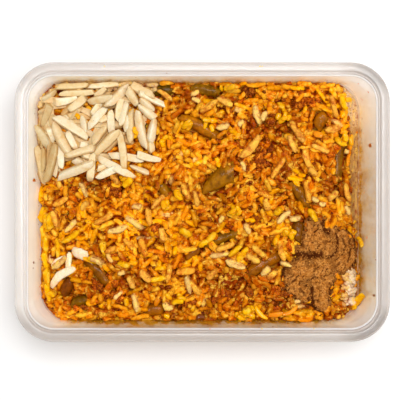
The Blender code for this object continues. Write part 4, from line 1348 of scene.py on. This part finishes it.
def grains_on_wall(kinds, draw):
    """Grains pressed against the inside of the wall, which show through it."""
    for _ in range(WALL_GRAINS):
        u, v = draw.uniform(-1, 1), draw.uniform(-1, 1)
        if draw.random() < BOX_LENGTH / (BOX_LENGTH + BOX_WIDTH):
            x, y = u * BOX_LENGTH / 2, math.copysign(BOX_WIDTH / 2, v)
        else:
            x, y = math.copysign(BOX_LENGTH / 2, v), u * BOX_WIDTH / 2
        z, radius = draw.uniform(0.0035, RICE_LEVEL), draw.uniform(0.00105, 0.0013)
        px, py = wall_point(x, y, z, radius - 0.0002)
        surface = food_level(px, py)
        if z > surface - (0.0060 if px > 0.070 and py > -0.016 else 0.0012):
            continue
        beyond = wall_point(x, y, z, radius - 0.0012)
        # The wall's own direction at this point, from two points a little apart.
        turn = math.atan2(py, px) + 0.01
        ahead = np.array((math.cos(turn), math.sin(turn))) * 0.092
        near = wall_point(*ahead, z, radius - 0.0002)
        tangent = np.array((near[0] - px, near[1] - py, 0.0))
        tangent /= np.linalg.norm(tangent)
        outward = np.array((tangent[1], -tangent[0], 0.0))
        if outward @ np.array((beyond[0] - px, beyond[1] - py, 0.0)) < 0:
            outward = -outward
        up = np.array((0.0, 0.0, 1.0)) + outward * WALL_DRAFT
        pitch, length = draw.uniform(-1.3, 1.3), draw.uniform(0.006, 0.0095)
        run = tangent * math.cos(pitch) + up * math.sin(pitch)
        high = abs(run[2]) * length / 2
        if z + high > surface + 0.0003 or z - high < 0.0048:
            continue
        ends = [np.array((px, py, z)) + run * length / 2 * sign for sign in (-1, 1)]
        if min(room_to_wall(*end) for end in ends) < radius - 0.0005:
            continue
        tint = pick_colour(px, py, draw)[1] * 0.95
        kinds["wall"].add((px, py, z), tuple(run), length, radius, 1.0, 0.0, 0.0, tint)


def marked_grains(ground, kinds, draw):
    """Lays the grains of MARKED on the others."""
    for kind, (colour, listed) in MARKED.items():
        for *ends, wide in listed:
            middle, heading, length = seen_between(*ends, GRAIN_TOP)
            orange = draw.uniform(0.15, 0.85) if kind == "pale" else draw.uniform(0.0, 0.2)
            shade = np.array(colour) * (1 - orange) + np.array(ORANGE[0]) * orange
            shade = shade * draw.uniform(0.86, 1.02)
            tint = (kind if kind == "yellow" else "orange" if orange > 0.5 else "pale", shade)
            lay_grain(ground, kinds, middle, heading, length, wide / 20000, draw, colour=tint, force=True)


def clump_of_grains(ground, kinds, draw):
    """White grains packed side by side, towards the right-hand wall, and yellow bits that lean on it."""
    before = ground.height.copy()
    for step in range(CLUMP_GRAINS):
        down = 270 + 34 * step / (CLUMP_GRAINS - 1)
        across = 349.0 + 2.0 * math.sin(step * 0.35) + draw.uniform(-5.5, 4.5)
        x, y = seen_at(across, down, CLUMP_TOP)
        heading, length = draw.uniform(-0.5, 0.5), draw.uniform(0.0034, 0.0052)
        reach_x, reach_y = length / 2 * math.cos(heading), length / 2 * math.sin(heading)
        here, ahead = rice_level(x - reach_x, y - reach_y), rice_level(x + reach_x, y + reach_y)
        z = max((here + ahead) / 2 + 0.0008, float(before[ground.cell(x, y)])) + draw.uniform(0.0002, 0.0012)
        if room_to_wall(x + reach_x, y + reach_y, z) < 0.0008:
            continue
        share = ease((across - 343) / 7)
        tint = np.array(linear(238, 184, 100)) * (1 - share) + np.array(linear(246, 222, 186)) * share
        tint = tint * draw.uniform(0.92, 1.06)
        run = (2 * reach_x, 2 * reach_y, ahead - here)
        kinds["pale"].add((x, y, z), run, length, 0.0012, 0.95, 0.0, 0.0, tint)
        ground.raise_rod((x, y, z), (ahead - here) / length, heading, length, 0.0012)
    for low, high, radius, flat in LEANING:
        a, b = seen_at(*low, 0.0225), seen_at(*high, 0.0285)
        run = Vector((b.x - a.x, b.y - a.y, 0.006))
        middle, tint = (a + b) / 2, MARKED["yellow"][0]
        kinds["yellow"].add((*middle, 0.0255), tuple(run), run.length, radius, flat, 0.0, 0.0, tint, 0.4)


def make_mush(ground, draw):
    """Broken, softened bits of rice that fill the places between whole grains."""
    heap = Heap()
    laid = 0
    for _ in range(12000):
        if laid >= MUSH_COUNT:
            break
        x, y = draw.uniform(-0.081, 0.080), draw.uniform(-0.0590, 0.0590)
        if noise_at(x, y, 70, 2.0) < draw.uniform(-0.7, 0.3) or not on_open_rice(x, y):
            continue
        large = draw.random() < 0.22
        size = draw.uniform(0.0014, 0.0022) if large else draw.uniform(0.0007, 0.0014)
        z = ground.at(x, y)
        rise = z - ground.level_at(x, y)
        if ground.kept_at(x, y) or rise > 0.0018 or room_to_wall(x, y, z) < 1.4 * size:
            continue
        shape = [size * k for k in draw.choice(MUSH_SHAPES)]
        seed, turn = random_seed(draw), draw.uniform(0, math.pi)
        centre = (x, y, z + shape[2] * (-0.15 if large else 0.1))
        points, faces, crease_shades = lumpy(centre, shape, turn, 3 if large else 2, seed, 0.38)
        # Bits lying deep are darker and redder, as painted shade.
        depth = min(max(-rise / DARKEST_DEPTH, 0.0), 1.0)
        tint = pick_colour(x, y, draw)[1] * (1 - depth * np.array((0.40, 0.55, 0.6)))
        if draw.random() < 0.10:
            tint = tint * np.array((0.62, 0.44, 0.3))
        heap.add(points, faces, [tuple(tint * min(0.45 + 0.6 * s, 1.1)) for s in crease_shades])
        shape[2] *= 0.7 if large else 0.9
        ground.raise_dome((x, y, z), shape, turn, tint=tint)
        laid += 1
    return ride(heap.mesh("broken_rice", grain_material("rice_soft", 0.4, 0.6)), "rice", "rice")


def finish_rice(kinds):
    """Makes the meshes of the grains, one for each kind."""
    for kind, rods in kinds.items():
        specks, stains = {"yellow": (0.3, 0.35), "pale": (0.35, 0.48)}.get(kind, (0.6, 0.68))
        material = grain_material(f"rice_{kind}", 0.36, specks, stains)
        shape, sides = (LOW_SHAPE, 6) if kind in ("deep", "wall") else (GRAIN_SHAPE, 7)
        # under darkens the grains' sides and undersides, as painted shade.
        obj = rods.mesh(
            f"grains_{kind}_1", material, shape, sides, square=2.2, seed=SEED + 1, lumps=0.10, wobble=0.10,
            lean=0.22, points=(0.7, 1.5), slant=0.6, under=(0.22, 0.45, 0.66),
        )
        ride(obj, "rice", "rice")


# ---------------------------------------------------------------- almonds

SLIVER_SHAPE = ((0.0, 0.42), (0.012, 0.54), (0.07, 0.76), (0.20, 0.94), (0.5, 1.0), (0.78, 0.94), (0.93, 0.76),
                (0.988, 0.55), (1.0, 0.44))
BED_SLIVERS = 40
# How far the middles of slivers may lie above the bare rice: the hidden ones, and the first and last listed.
BED_MOST = 0.0026
LISTED_MOST = (0.0034, 0.0066)
CREAM = (linear(239, 221, 186), linear(236, 215, 174), linear(243, 229, 198), linear(232, 207, 160))


def lay_sliver(ground, rods, middle, heading, length, radius, tint, draw, most):
    """One sliver, at rest on what is there, its middle no higher than most above the bare rice."""
    flat = draw.uniform(0.62, 0.88)
    x, y = middle
    cos, sin = math.cos(heading), math.sin(heading)
    z, slope = ground.rest(x, y, heading, length, radius, 0.32)
    centre = min(z + radius * flat * 0.85, ground.level_at(x, y) + most)

    def room_at(share):
        along = share * length
        return room_to_wall(x + along * cos, y + along * sin, centre + slope * along)

    # Moved away from the wall, its end there lifted, until both ends are clear of it.
    for _ in range(60):
        end = min((-0.5, 0.5), key=room_at)
        if room_at(end) > radius * 0.5:
            break
        x -= math.copysign(0.00012, x) * (abs(x) > 0.055)
        y -= math.copysign(0.00012, y) * (abs(y) > 0.040)
        slope += 0.0004 / length * math.copysign(1, end)
    bend, turn = length * draw.uniform(0.0, 0.05), draw.choice((0.0, math.pi))
    roll = draw.uniform(-0.75, 0.75)
    rods.lay(ground, (x, y, centre), slope, heading, length, radius, flat, bend, turn, tint, roll)


def make_almonds(ground, draw):
    """The heap of slivered almonds."""
    rods = Rods()
    # Slivers under those that the photograph shows: each goes where the heap is still low.
    for _ in range(BED_SLIVERS):
        spots = []
        for _ in range(60):
            x, y = draw.uniform(-0.084, -0.022), draw.uniform(0.010, 0.060)
            if outline_depth((x, y), ALMOND_OUTLINE) >= 0.0035 and room_to_wall(x, y, GRAIN_TOP) >= 0.0025:
                spots.append((ground.at(x, y) + draw.uniform(0, 0.0015), x, y))
        _, x, y = min(spots)
        heading = draw.uniform(0, math.pi)
        if room_to_wall(x, y, GRAIN_TOP) < 0.008:
            heading = (math.pi / 2 if x < -0.074 else 0.0) + draw.uniform(-0.4, 0.4)
        length, radius = draw.uniform(0.012, 0.018), draw.uniform(0.0015, 0.0019)
        # The hidden slivers are painted darker and warmer, as painted shade under the slivers on top.
        tint = np.array(draw.choice(CREAM)) * np.array((0.88, 0.74, 0.55)) * draw.uniform(0.80, 1.0)
        lay_sliver(ground, rods, (x, y), heading, length, radius, tint, draw, BED_MOST)
    for number, (x0, y0, x1, y1, wide) in enumerate(SLIVERS):
        middle, heading, length = seen_between(x0, y0, x1, y1, SLIVER_TOP)
        radius = wide * PIXEL_AT_RIM / 2 * draw.uniform(0.98, 1.08)
        tint = np.array(draw.choice(CREAM)) * draw.uniform(0.92, 1.0)
        # The slivers against the left-hand wall are painted darker, as painted shade from the wall, and those
        # by the back wall a little darker, for the same reason.
        if min(x0, x1) < 46:  # those against the left-hand wall are duller
            tint = tint * np.array((0.76, 0.71, 0.60))
        elif max(y0, y1) < 96:
            tint = tint * np.array((0.96, 0.95, 0.88))
        most = LISTED_MOST[0] + (LISTED_MOST[1] - LISTED_MOST[0]) * number / len(SLIVERS)
        lay_sliver(ground, rods, middle, heading, length, radius, tint, draw, most)
    # under darkens the slivers' sides and undersides, as painted shade.
    obj = rods.mesh(
        "almond_sliver_heap", almond_material(), SLIVER_SHAPE, 12, square=6.0, seed=SEED, lumps=0.04,
        ends=0.97, lean=0.24, points=(0.25, 1.6), slant=0.9, under=(0.12, 0.32, 0.58), shading=(0.95, 1.15),
        crisp=34,
    )
    return ride(obj, "almond", "almond_slivers")


# ---------------------------------------------------------------- spice

# Where the spice is dark with hollows: pixel across, pixel down, reach in pixels, strength.
SPICE_DARK = (
    (329, 242, 7, 0.9), (301, 292, 8, 0.8), (347, 249, 9, 0.5), (288, 286, 6, 0.7), (335, 230, 5, 0.7),
)
SPICE_STEP = 0.00019
SPICE_MARGIN = 0.004
SPICE_X = [x for x, _ in SPICE_OUTLINE]
SPICE_Y = [y for _, y in SPICE_OUTLINE]
SPICE_LOW = (min(SPICE_X) - SPICE_MARGIN, min(SPICE_Y) - SPICE_MARGIN)
CRACK_LINES = [([tuple(from_photo(*p)) for p in points], w / 1000, d / 1000, k) for points, w, d, k in CRACKS]
GRIT_COUNT = 1500
GRIT_SHADES = (0.0, 0.0, 0.1, 0.35, 0.6)


def crack_at(x, y):
    """Depth and darkness of the cracks at a place."""
    groove, shade = 0.0, 0.0
    for line, wide, down, strength in CRACK_LINES:
        near = min(segment_distance((x, y), a, b) for a, b in zip(line, line[1:]))
        if near < 2 * wide:
            cut = 1 - ease(near / (wide * (1 + 0.7 * noise.noise(Vector((x, y, 0.0)) * 700))))
            groove = max(groove, down * cut)
            shade = max(shade, strength * min(1.3 * cut, 1.0))
    return groove, shade


def spice_point(x, y, laid, depth):
    """Height and darkness of the spice. laid is the height under it, depth how far its edge is away."""
    place = Vector((x, y, 0.0))

    def at(scale, *shift):
        return noise.noise(place * scale + Vector(shift))

    body = ease((depth + 0.0014) / 0.0020)
    mound = 0.0024 * (1 - ease((place.xy - from_photo(*SPICE_CENTRE)).length / 0.021))
    heap = rice_level(x, y) + mound + 0.0014 + 0.0018 * abs(at(150, 3, 1, 0))
    grit = 0.0012 * abs(at(400, 7, 5, 0)) + 0.0006 * abs(at(850, 1, 9, 0)) + 0.0003 * abs(at(1700, 0, 0, 0))
    # Short pits that lie aslant, and finer ones.
    aslant = Vector(((x + y) * 330, (x - y) * 680, 3.0))
    pit = ease((noise.noise(aslant) - 0.27) / 0.12) * ease((at(170, 0, 0, 0) + 0.22) / 0.3)
    prick = ease((at(1050, 2, 2, 2) - 0.30) / 0.12)
    groove, shade = crack_at(x, y)
    z = (laid - 0.0010) * (1 - body) + max(laid + 0.0003, heap) * body + grit * (0.4 + 0.6 * body)
    z -= (groove + 0.0007 * pit) * body
    if body > 0.5:
        z = max(z, laid + 0.0005)
    thin = 0.45 * ease((at(160, 4, 4, 4) - 0.10) / 0.3)
    hollow = patch_share(SPICE_DARK, x, y) * ease((at(480, 5, 0, 8) + 0.02) / 0.25)
    # The darkness is partly painted shade in the cracks, the pits and the crevice along the heap's edge, and
    # partly dark food under thin spice.
    return z, min(max(shade, 0.86 * pit, 0.65 * prick, thin, 0.85 * hollow) + 0.55 * (1 - body), 0.95)


def spice_skin(ground):
    """Points on a grid over the spice, how dark each is, their numbers, and faces where there is spice."""
    under = ground.height.copy()
    for _ in range(2):
        for axis in (0, 1):
            under = np.maximum(under, np.maximum(np.roll(under, 1, axis), np.roll(under, -1, axis)))
    under = blurred(under, 2)
    across, deep = (int((max(v) - min(v) + 2 * SPICE_MARGIN) / SPICE_STEP) for v in (SPICE_X, SPICE_Y))
    points, dark, shown = [], [], []
    for j in range(deep + 1):
        for i in range(across + 1):
            x, y = SPICE_LOW[0] + i * SPICE_STEP, SPICE_LOW[1] + j * SPICE_STEP
            place = Vector((x, y, 0.0))
            depth = outline_depth((x, y), SPICE_OUTLINE)
            depth += 0.0012 * noise.noise(place * 330) + 0.0011 * noise.noise(place * 800)
            z, shade = 0.01, 0.0
            if depth >= -0.0022:
                z, shade = spice_point(x, y, float(under[ground.cell(x, y)]), depth)
            points.append((x, y, z))
            dark.append(shade)
            shown.append(depth >= -0.0022 and room_to_wall(x, y, z) > 0.0004)
    index = np.arange(len(points)).reshape(deep + 1, across + 1)
    quads = grid_faces(index)
    return points, dark, index, quads[np.array(shown)[quads].all(axis=1)]


def make_spice(ground, draw):
    """The heap of ground spice: a gritty skin with clumps and cracks that thins out over the grains."""
    points, dark, index, quads = spice_skin(ground)
    heights = np.array(points)[:, 2]
    faces, sizes = [quads.ravel()], [np.full(len(quads), 4)]
    # Loose grit on the heap and dusted over the rice beside it.
    for _ in range(GRIT_COUNT):
        x = draw.uniform(min(SPICE_X) - 0.003, max(SPICE_X) + 0.003)
        y = draw.uniform(min(SPICE_Y) - 0.003, max(SPICE_Y) + 0.003)
        if outline_depth((x, y), SPICE_OUTLINE) < -abs(draw.gauss(0, 0.0016)):
            continue
        i, j = int((x - SPICE_LOW[0]) / SPICE_STEP), int((y - SPICE_LOW[1]) / SPICE_STEP)
        z = max(float(heights[index[j, i]]), ground.at(x, y))
        size = draw.uniform(0.00016, 0.00046)
        if room_to_wall(x, y, z) < size:
            continue
        seed, turn = random_seed(draw), draw.uniform(0, 3)
        shape = (size * 1.2, size, size * 0.8)
        more, grit, _ = lumpy((x, y, z + size * 0.2), shape, turn, 1, seed)
        faces.append((np.array(grit) + len(points)).ravel())
        sizes.append(np.full(len(grit), 3))
        points += more
        dark += [draw.choice(GRIT_SHADES)] * len(more)
    sizes, faces = np.concatenate(sizes), np.concatenate(faces)
    obj = build("spice_heap", points, sizes, faces, spice_material(), extra=dark)
    tidy = bmesh.new()
    tidy.from_mesh(obj.data)
    bmesh.ops.delete(tidy, geom=[v for v in tidy.verts if not v.link_faces], context="VERTS")
    tidy.to_mesh(obj.data)
    tidy.free()
    return ride(obj, "spice", "ground_spice")


# ---------------------------------------------------------------- small crumbs, strips and specks

# Where broken mince lies thick: centre in pixels, reach across and down in pixels, crumbs.
MINCE_PATCHES = (
    (70, 171, 9, 5, 6), (76, 186, 5, 8, 7), (260, 96, 5, 4, 5), (270, 121, 5, 6, 5), (261, 160, 14, 14, 16),
    (105, 288, 10, 12, 10), (220, 298, 14, 7, 12), (252, 295, 7, 5, 6), (281, 300, 9, 9, 9),
    (301, 101, 8, 8, 7), (346, 234, 7, 7, 9), (349, 250, 5, 10, 9), (284, 286, 6, 9, 8),
    (291, 246, 4, 8, 6), (57, 273, 4, 5, 4), (80, 302, 7, 6, 6), (92, 288, 6, 7, 6), (160, 224, 6, 5, 4),
    (238, 130, 8, 6, 5), (318, 140, 7, 6, 5), (112, 193, 8, 6, 5), (262, 222, 7, 5, 4), (185, 298, 6, 4, 5),
    (152, 118, 6, 8, 5), (270, 121, 4, 4, 5), (266, 84, 12, 1.5, 5), (312, 102, 5, 4, 5),
    (200, 103, 5, 4, 3), (330, 150, 2, 12, 6), (286, 84, 5, 2, 3),
)
RUST = ((1.0, 0.95, 0.8), (1.3, 1.2, 0.7), (0.8, 0.75, 0.7))
ONION_WHITE, ONION_ORANGE, STRIP_YELLOW = linear(252, 232, 198), linear(240, 150, 20), linear(248, 180, 0)
# Strips: both ends in pixels, radius, colour, flatness.
STRIPS = (
    (71, 250, 90, 258, 0.0029, ONION_WHITE, 0.5), (83, 257, 104, 262, 0.0013, STRIP_YELLOW, 0.5),
    (69, 252, 66, 273, 0.0015, ONION_WHITE, 0.5), (77, 265, 49, 291, 0.0022, ONION_WHITE, 0.42),
    (50, 268, 67, 256, 0.0017, ONION_WHITE, 0.6), (268, 316, 284, 314, 0.0013, ONION_ORANGE, 0.6),
    (282, 315, 298, 306, 0.0011, ONION_ORANGE, 0.6), (255, 306, 267, 319, 0.0012, STRIP_YELLOW, 0.6),
    (276, 211, 284, 206, 0.0016, ONION_ORANGE, 0.5), (313, 132, 322, 137, 0.0016, ONION_ORANGE, 0.5),
    (196, 318.5, 205, 317, 0.0014, linear(120, 60, 12), 0.6),
)
# Clots of short yellow grains: pixel across, pixel down.
CLOTS = (
    (165, 204), (186, 124), (236, 211), (247, 311), (168, 318), (127, 179), (79, 118), (136, 134), (240, 316),
    (228, 90), (283, 119), (344, 97), (290, 234), (176, 297), (206, 122), (346, 140),
)
CLOT_GRAINS = 5
SAUCE_YELLOW, SAUCE_BROWN, SAUCE_ORANGE = linear(244, 196, 20), linear(120, 54, 16), linear(232, 128, 24)
SAUCE_RUST = linear(150, 70, 20)
# Splashes on the rim: pixel across, pixel down, width in pixels, colour.
RIM_DROPS = (
    (104.5, 66.3, 1.3, SAUCE_YELLOW), (166.8, 73.2, 1.0, SAUCE_BROWN), (260, 66.3, 1.5, SAUCE_YELLOW),
    (262.3, 66.4, 1.2, SAUCE_YELLOW), (314, 328.6, 1.3, SAUCE_YELLOW), (262, 328.8, 1.4, SAUCE_YELLOW),
    (210, 329, 1.2, SAUCE_ORANGE), (375.8, 259.7, 1.2, SAUCE_BROWN),
)
# Splashes on the walls: towards x and y from the middle, height, radius, colour, stretch.
WALL_DROPS = (
    (0.092, 0.0310, 0.036, 0.0011, SAUCE_ORANGE, 2.8), (-0.092, 0.0120, 0.036, 0.0009, SAUCE_ORANGE, 3.5),
    (-0.092, -0.0330, 0.037, 0.0007, SAUCE_BROWN, 2.0), (0.092, -0.0500, 0.043, 0.0007, SAUCE_RUST, 3.4),
    (0.080, 0.0530, 0.041, 0.0006, SAUCE_ORANGE, 1.2), (0.074, 0.0560, 0.040, 0.0005, SAUCE_ORANGE, 1.2),
    (-0.092, -0.0360, 0.038, 0.0005, SAUCE_BROWN, 1.2), (0.092, -0.0200, 0.030, 0.0008, SAUCE_ORANGE, 1.2),
)
FINE_DROPS = 150
FINE_DROP_COLOURS = (SAUCE_YELLOW, SAUCE_ORANGE, SAUCE_ORANGE, SAUCE_BROWN, linear(90, 50, 20))
# A drop's rings, as shares of its reach and its thickness.
DROP_RINGS = ((1.0, -0.3), (0.85, 0.55), (0.45, 1.0))
DROP_SIDES = 12
DROP_THICKNESS = 0.00012


def make_crumbs(ground, draw, material):
    """Bits of mince: larger ones in patches, and fine ones between the grains."""
    heap = Heap()

    def lay(x, y, size, highest, detail):
        z = ground.at(x, y)
        if ground.kept_at(x, y) or z > ground.level_at(x, y) + highest or room_to_wall(x, y, z) < size:
            return False
        shape = (size * draw.uniform(0.8, 1.4), size * draw.uniform(0.7, 1.1), size * draw.uniform(0.6, 0.9))
        seed, turn = random_seed(draw), draw.uniform(0, 3)
        points, faces, crease_shades = lumpy((x, y, z + shape[2] * 0.25), shape, turn, detail, seed, 0.45)
        shade, rust = draw.uniform(0.6, 1.4), draw.choice(RUST)
        heap.add(points, faces, [tuple(shade * s * c for c in rust) for s in crease_shades])
        ground.raise_dome((x, y, z), shape)
        return True

    for across, down, reach_x, reach_y, count in MINCE_PATCHES:
        for _ in range(count):
            pixel = (across + draw.uniform(-1, 1) * reach_x, down + draw.uniform(-1, 1) * reach_y)
            lay(*seen_at(*pixel, GRAIN_TOP), draw.uniform(0.0011, 0.0022), 0.0022, 4)
    laid = 0
    for _ in range(9000):
        if laid >= CRUMB_COUNT:
            break
        x, y = draw.uniform(-0.081, 0.080), draw.uniform(-0.059, 0.059)
        if draw.random() <= 0.14 + patch_share(RED_PATCHES, x, y) and on_open_rice(x, y):
            laid += lay(x, y, 0.0004 + 0.0011 * draw.random() ** 2, 0.0020, 2)
    return ride(heap.mesh("mince_bits", material), "mince")


def make_strips(ground, draw, material):
    """Soft strips of onion, white at the left and orange at the lower right, and clots of yellow grains."""
    rods = Rods()
    for *ends, radius, colour, flat in STRIPS:
        middle, heading, length = seen_between(*ends, STRIP_TOP)
        z, slope = ground.rest(*middle, heading, length, radius, 0.6)
        place = (*middle, z + radius * flat * 0.5)
        bend, turn = length * draw.uniform(0.04, 0.12), draw.choice((0.0, math.pi))
        roll = draw.uniform(-0.4, 0.4)
        rods.lay(ground, place, slope, heading, length, radius, flat, bend, turn, colour, roll)
    for across, down in CLOTS:
        for _ in range(CLOT_GRAINS):
            x, y = seen_at(across + draw.gauss(0, 2.6), down + draw.gauss(0, 2.2), STRIP_TOP)
            heading = draw.uniform(0, math.pi)
            length, radius = draw.uniform(0.0030, 0.0052), draw.uniform(0.0010, 0.0014)
            z, slope = ground.rest(x, y, heading, length, radius, 0.6)
            if room_to_wall(x, y, z + radius) < length / 2:
                continue
            tint = np.array(STRIP_YELLOW) * draw.uniform(0.85, 1.0)
            rods.lay(ground, (x, y, z + radius * 0.4), slope, heading, length, radius, 0.8, 0.0, 0.0, tint)
    obj = rods.mesh(
        "onion_strips", material, LEAF_SHAPE, 14, square=2.3, seed=SEED, lumps=0.07, ends=0.95, wobble=0.06,
    )
    return ride(obj, "rice")


def add_drop(heap, place, outward, reach, colour, stretch=1.0):
    """A flat drop on a face that looks outward."""
    out = Vector(outward).normalized()
    first = Vector((0, 0, 1)) if abs(out.z) < 0.9 else Vector((1, 0, 0))
    first = (first - out * first.dot(out)).normalized()
    second = out.cross(first)
    seed = Vector((place[0] * 900, place[1] * 900, 0))
    sides, points, faces = DROP_SIDES, [], []
    for ring, (share, rise) in enumerate(DROP_RINGS):
        for k in range(sides):
            turn = math.tau * k / sides
            rough = 1 + 0.45 * noise.noise(Vector((math.cos(turn), math.sin(turn), ring * 0.2)) * 1.3 + seed)
            offset = first * math.cos(turn) * stretch + second * math.sin(turn)
            points.append(tuple(Vector(place) + offset * reach * share * rough + out * DROP_THICKNESS * rise))
    points.append(tuple(Vector(place) + out * DROP_THICKNESS * 1.1))
    for start in (0, sides):
        for k in range(sides):
            a, b = start + k, start + (k + 1) % sides
            faces += [(a, b, b + sides), (a, b + sides, a + sides)]
    faces += [(2 * sides + k, 2 * sides + (k + 1) % sides, 3 * sides) for k in range(sides)]
    heap.add(points, faces, [colour] * len(points))


def add_wall_drop(heap, towards_x, towards_y, z, reach, colour, stretch):
    """A drop on the inner wall's face."""
    x, y = wall_point(towards_x, towards_y, z, 0.0)
    near = wall_point(towards_x + towards_y * 0.01, towards_y - towards_x * 0.01, z, 0.0)
    tangent = Vector((near[0] - x, near[1] - y, 0)).normalized()
    inward = Vector((tangent.y, -tangent.x, 0))
    if inward.dot(Vector((x, y, 0))) > 0:
        inward = -inward
    add_drop(heap, (x, y, z), inward + Vector((0, 0, WALL_DRAFT)), reach, colour, stretch)


def make_specks(draw, material):
    """Splashes on the rim and the walls."""
    heap = Heap()
    for across, down, wide, colour in RIM_DROPS:
        place = (*seen_at(across, down, BOX_HEIGHT), BOX_HEIGHT - 0.00003)
        add_drop(heap, place, (0, 0, 1), wide * PIXEL_AT_RIM / 2, colour)
    for listed in WALL_DROPS:
        add_wall_drop(heap, *listed)
    for _ in range(FINE_DROPS):
        if draw.random() < 0.55:
            x, y = draw.uniform(-0.08, 0.085), draw.choice((-1, 1)) * 0.0685
        else:
            x, y = draw.choice((1, 1, 1, -1)) * 0.092, draw.uniform(-0.06, 0.06)
        z = rice_level(*wall_point(x, y, 0.036, 0.001)) + abs(draw.gauss(0, 1)) * 0.0035 + 0.001
        if z > 0.045:
            continue
        colour, reach = draw.choice(FINE_DROP_COLOURS), draw.uniform(0.00012, 0.0004)
        add_wall_drop(heap, x, y, z, reach, colour, draw.uniform(0.8, 1.6))
    return ride(heap.mesh("sauce_specks", material), "rice")


# ---------------------------------------------------------------- camera, light and floor

SENSOR = 36
FLOOR_HALF, FLOOR_DROP = 3.0, 0.0002
# Lights: name, place, size, power, colour.
LIGHTS = (
    ("key", (0.05, 0.15, 1.12), (0.45, 0.45), 9.9, (1.0, 0.997, 0.99)),
    ("fill", (0.60, 0.05, 0.70), (0.6, 0.6), 2.2, (1.0, 1.0, 1.0)),
    ("front", (0.1, -0.9, 0.5), (0.7, 0.5), 0.8, (1.0, 1.0, 1.0)),
)
WORLD_LIGHT = 0.35


def make_camera(scene):
    """A camera whose eye and frame are the photograph's, looking straight down."""
    lens = bpy.data.cameras.new("camera")
    lens.sensor_width = SENSOR
    lens.lens = SENSOR * EYE_ABOVE_RIM / (2 * MIDDLE * PIXEL_AT_RIM)
    lens.clip_start, lens.clip_end = 0.05, 20
    camera = bpy.data.objects.new("camera", lens)
    camera.location = (*EYE, BOX_HEIGHT + EYE_ABOVE_RIM)
    scene.collection.objects.link(camera)
    scene.camera = camera


def make_lights(scene):
    """Large soft lamps, and even white light from all round."""
    for name, place, size, power, colour in LIGHTS:
        data = bpy.data.lights.new(name, "AREA")
        data.shape = "RECTANGLE"
        data.size, data.size_y = size
        data.energy = power
        data.color = colour
        lamp = bpy.data.objects.new(name, data)
        lamp.location = place
        lamp.rotation_euler = (-Vector(place)).to_track_quat("-Z", "Y").to_euler()
        scene.collection.objects.link(lamp)
    world = bpy.data.worlds.new("studio")
    scene.world = world
    world.use_nodes = True
    background = world.node_tree.nodes["Background"]
    background.inputs["Color"].default_value = (1, 1, 1, 1)
    background.inputs["Strength"].default_value = WORLD_LIGHT


def make_floor():
    """A pale floor just under the container."""
    n = Nodes("pale_floor", Roughness=0.9, Specular_IOR_Level=0.1)
    n.give(Base_Color=n.ramp(n.noise(6, 2), (0.3, (238, 238, 238)), (0.7, (240, 240, 240))))
    corners = [(x * FLOOR_HALF, y * FLOOR_HALF, -FLOOR_DROP) for x, y in ((-1, -1), (1, -1), (1, 1), (-1, 1))]
    build("floor", corners, [4], [0, 1, 2, 3], n.material)


def make_set():
    """The camera, the lights and the floor."""
    scene = bpy.context.scene
    make_camera(scene)
    make_lights(scene)
    make_floor()
    scene.view_settings.view_transform = "Standard"


def main():
    """Everything in the order in which it is laid, as each thing rests on those before it."""
    draw = random.Random(SEED)
    make_set()
    make_container()
    ground = Ground()
    bean_skin, mince = bean_material(), mince_material("mince")
    for number, bean in enumerate(BEANS, 1):
        make_bean(number, bean, bean_skin, ground, draw)
    for number, crumb in enumerate(MINCE, 1):
        make_mince(number, crumb, mince, ground, draw)
    kinds = scatter_rice(ground, draw)
    make_strips(ground, draw, onion_material())
    marked_grains(ground, kinds, draw)
    clump_of_grains(ground, kinds, draw)
    grains_on_wall(kinds, draw)
    make_mush(ground, draw)
    finish_rice(kinds)
    make_bed(ground)
    make_crumbs(ground, draw, mince_material("mince_fine"))
    make_spice(ground, draw)
    make_almonds(ground, draw)
    make_specks(draw, drop_material())


main()
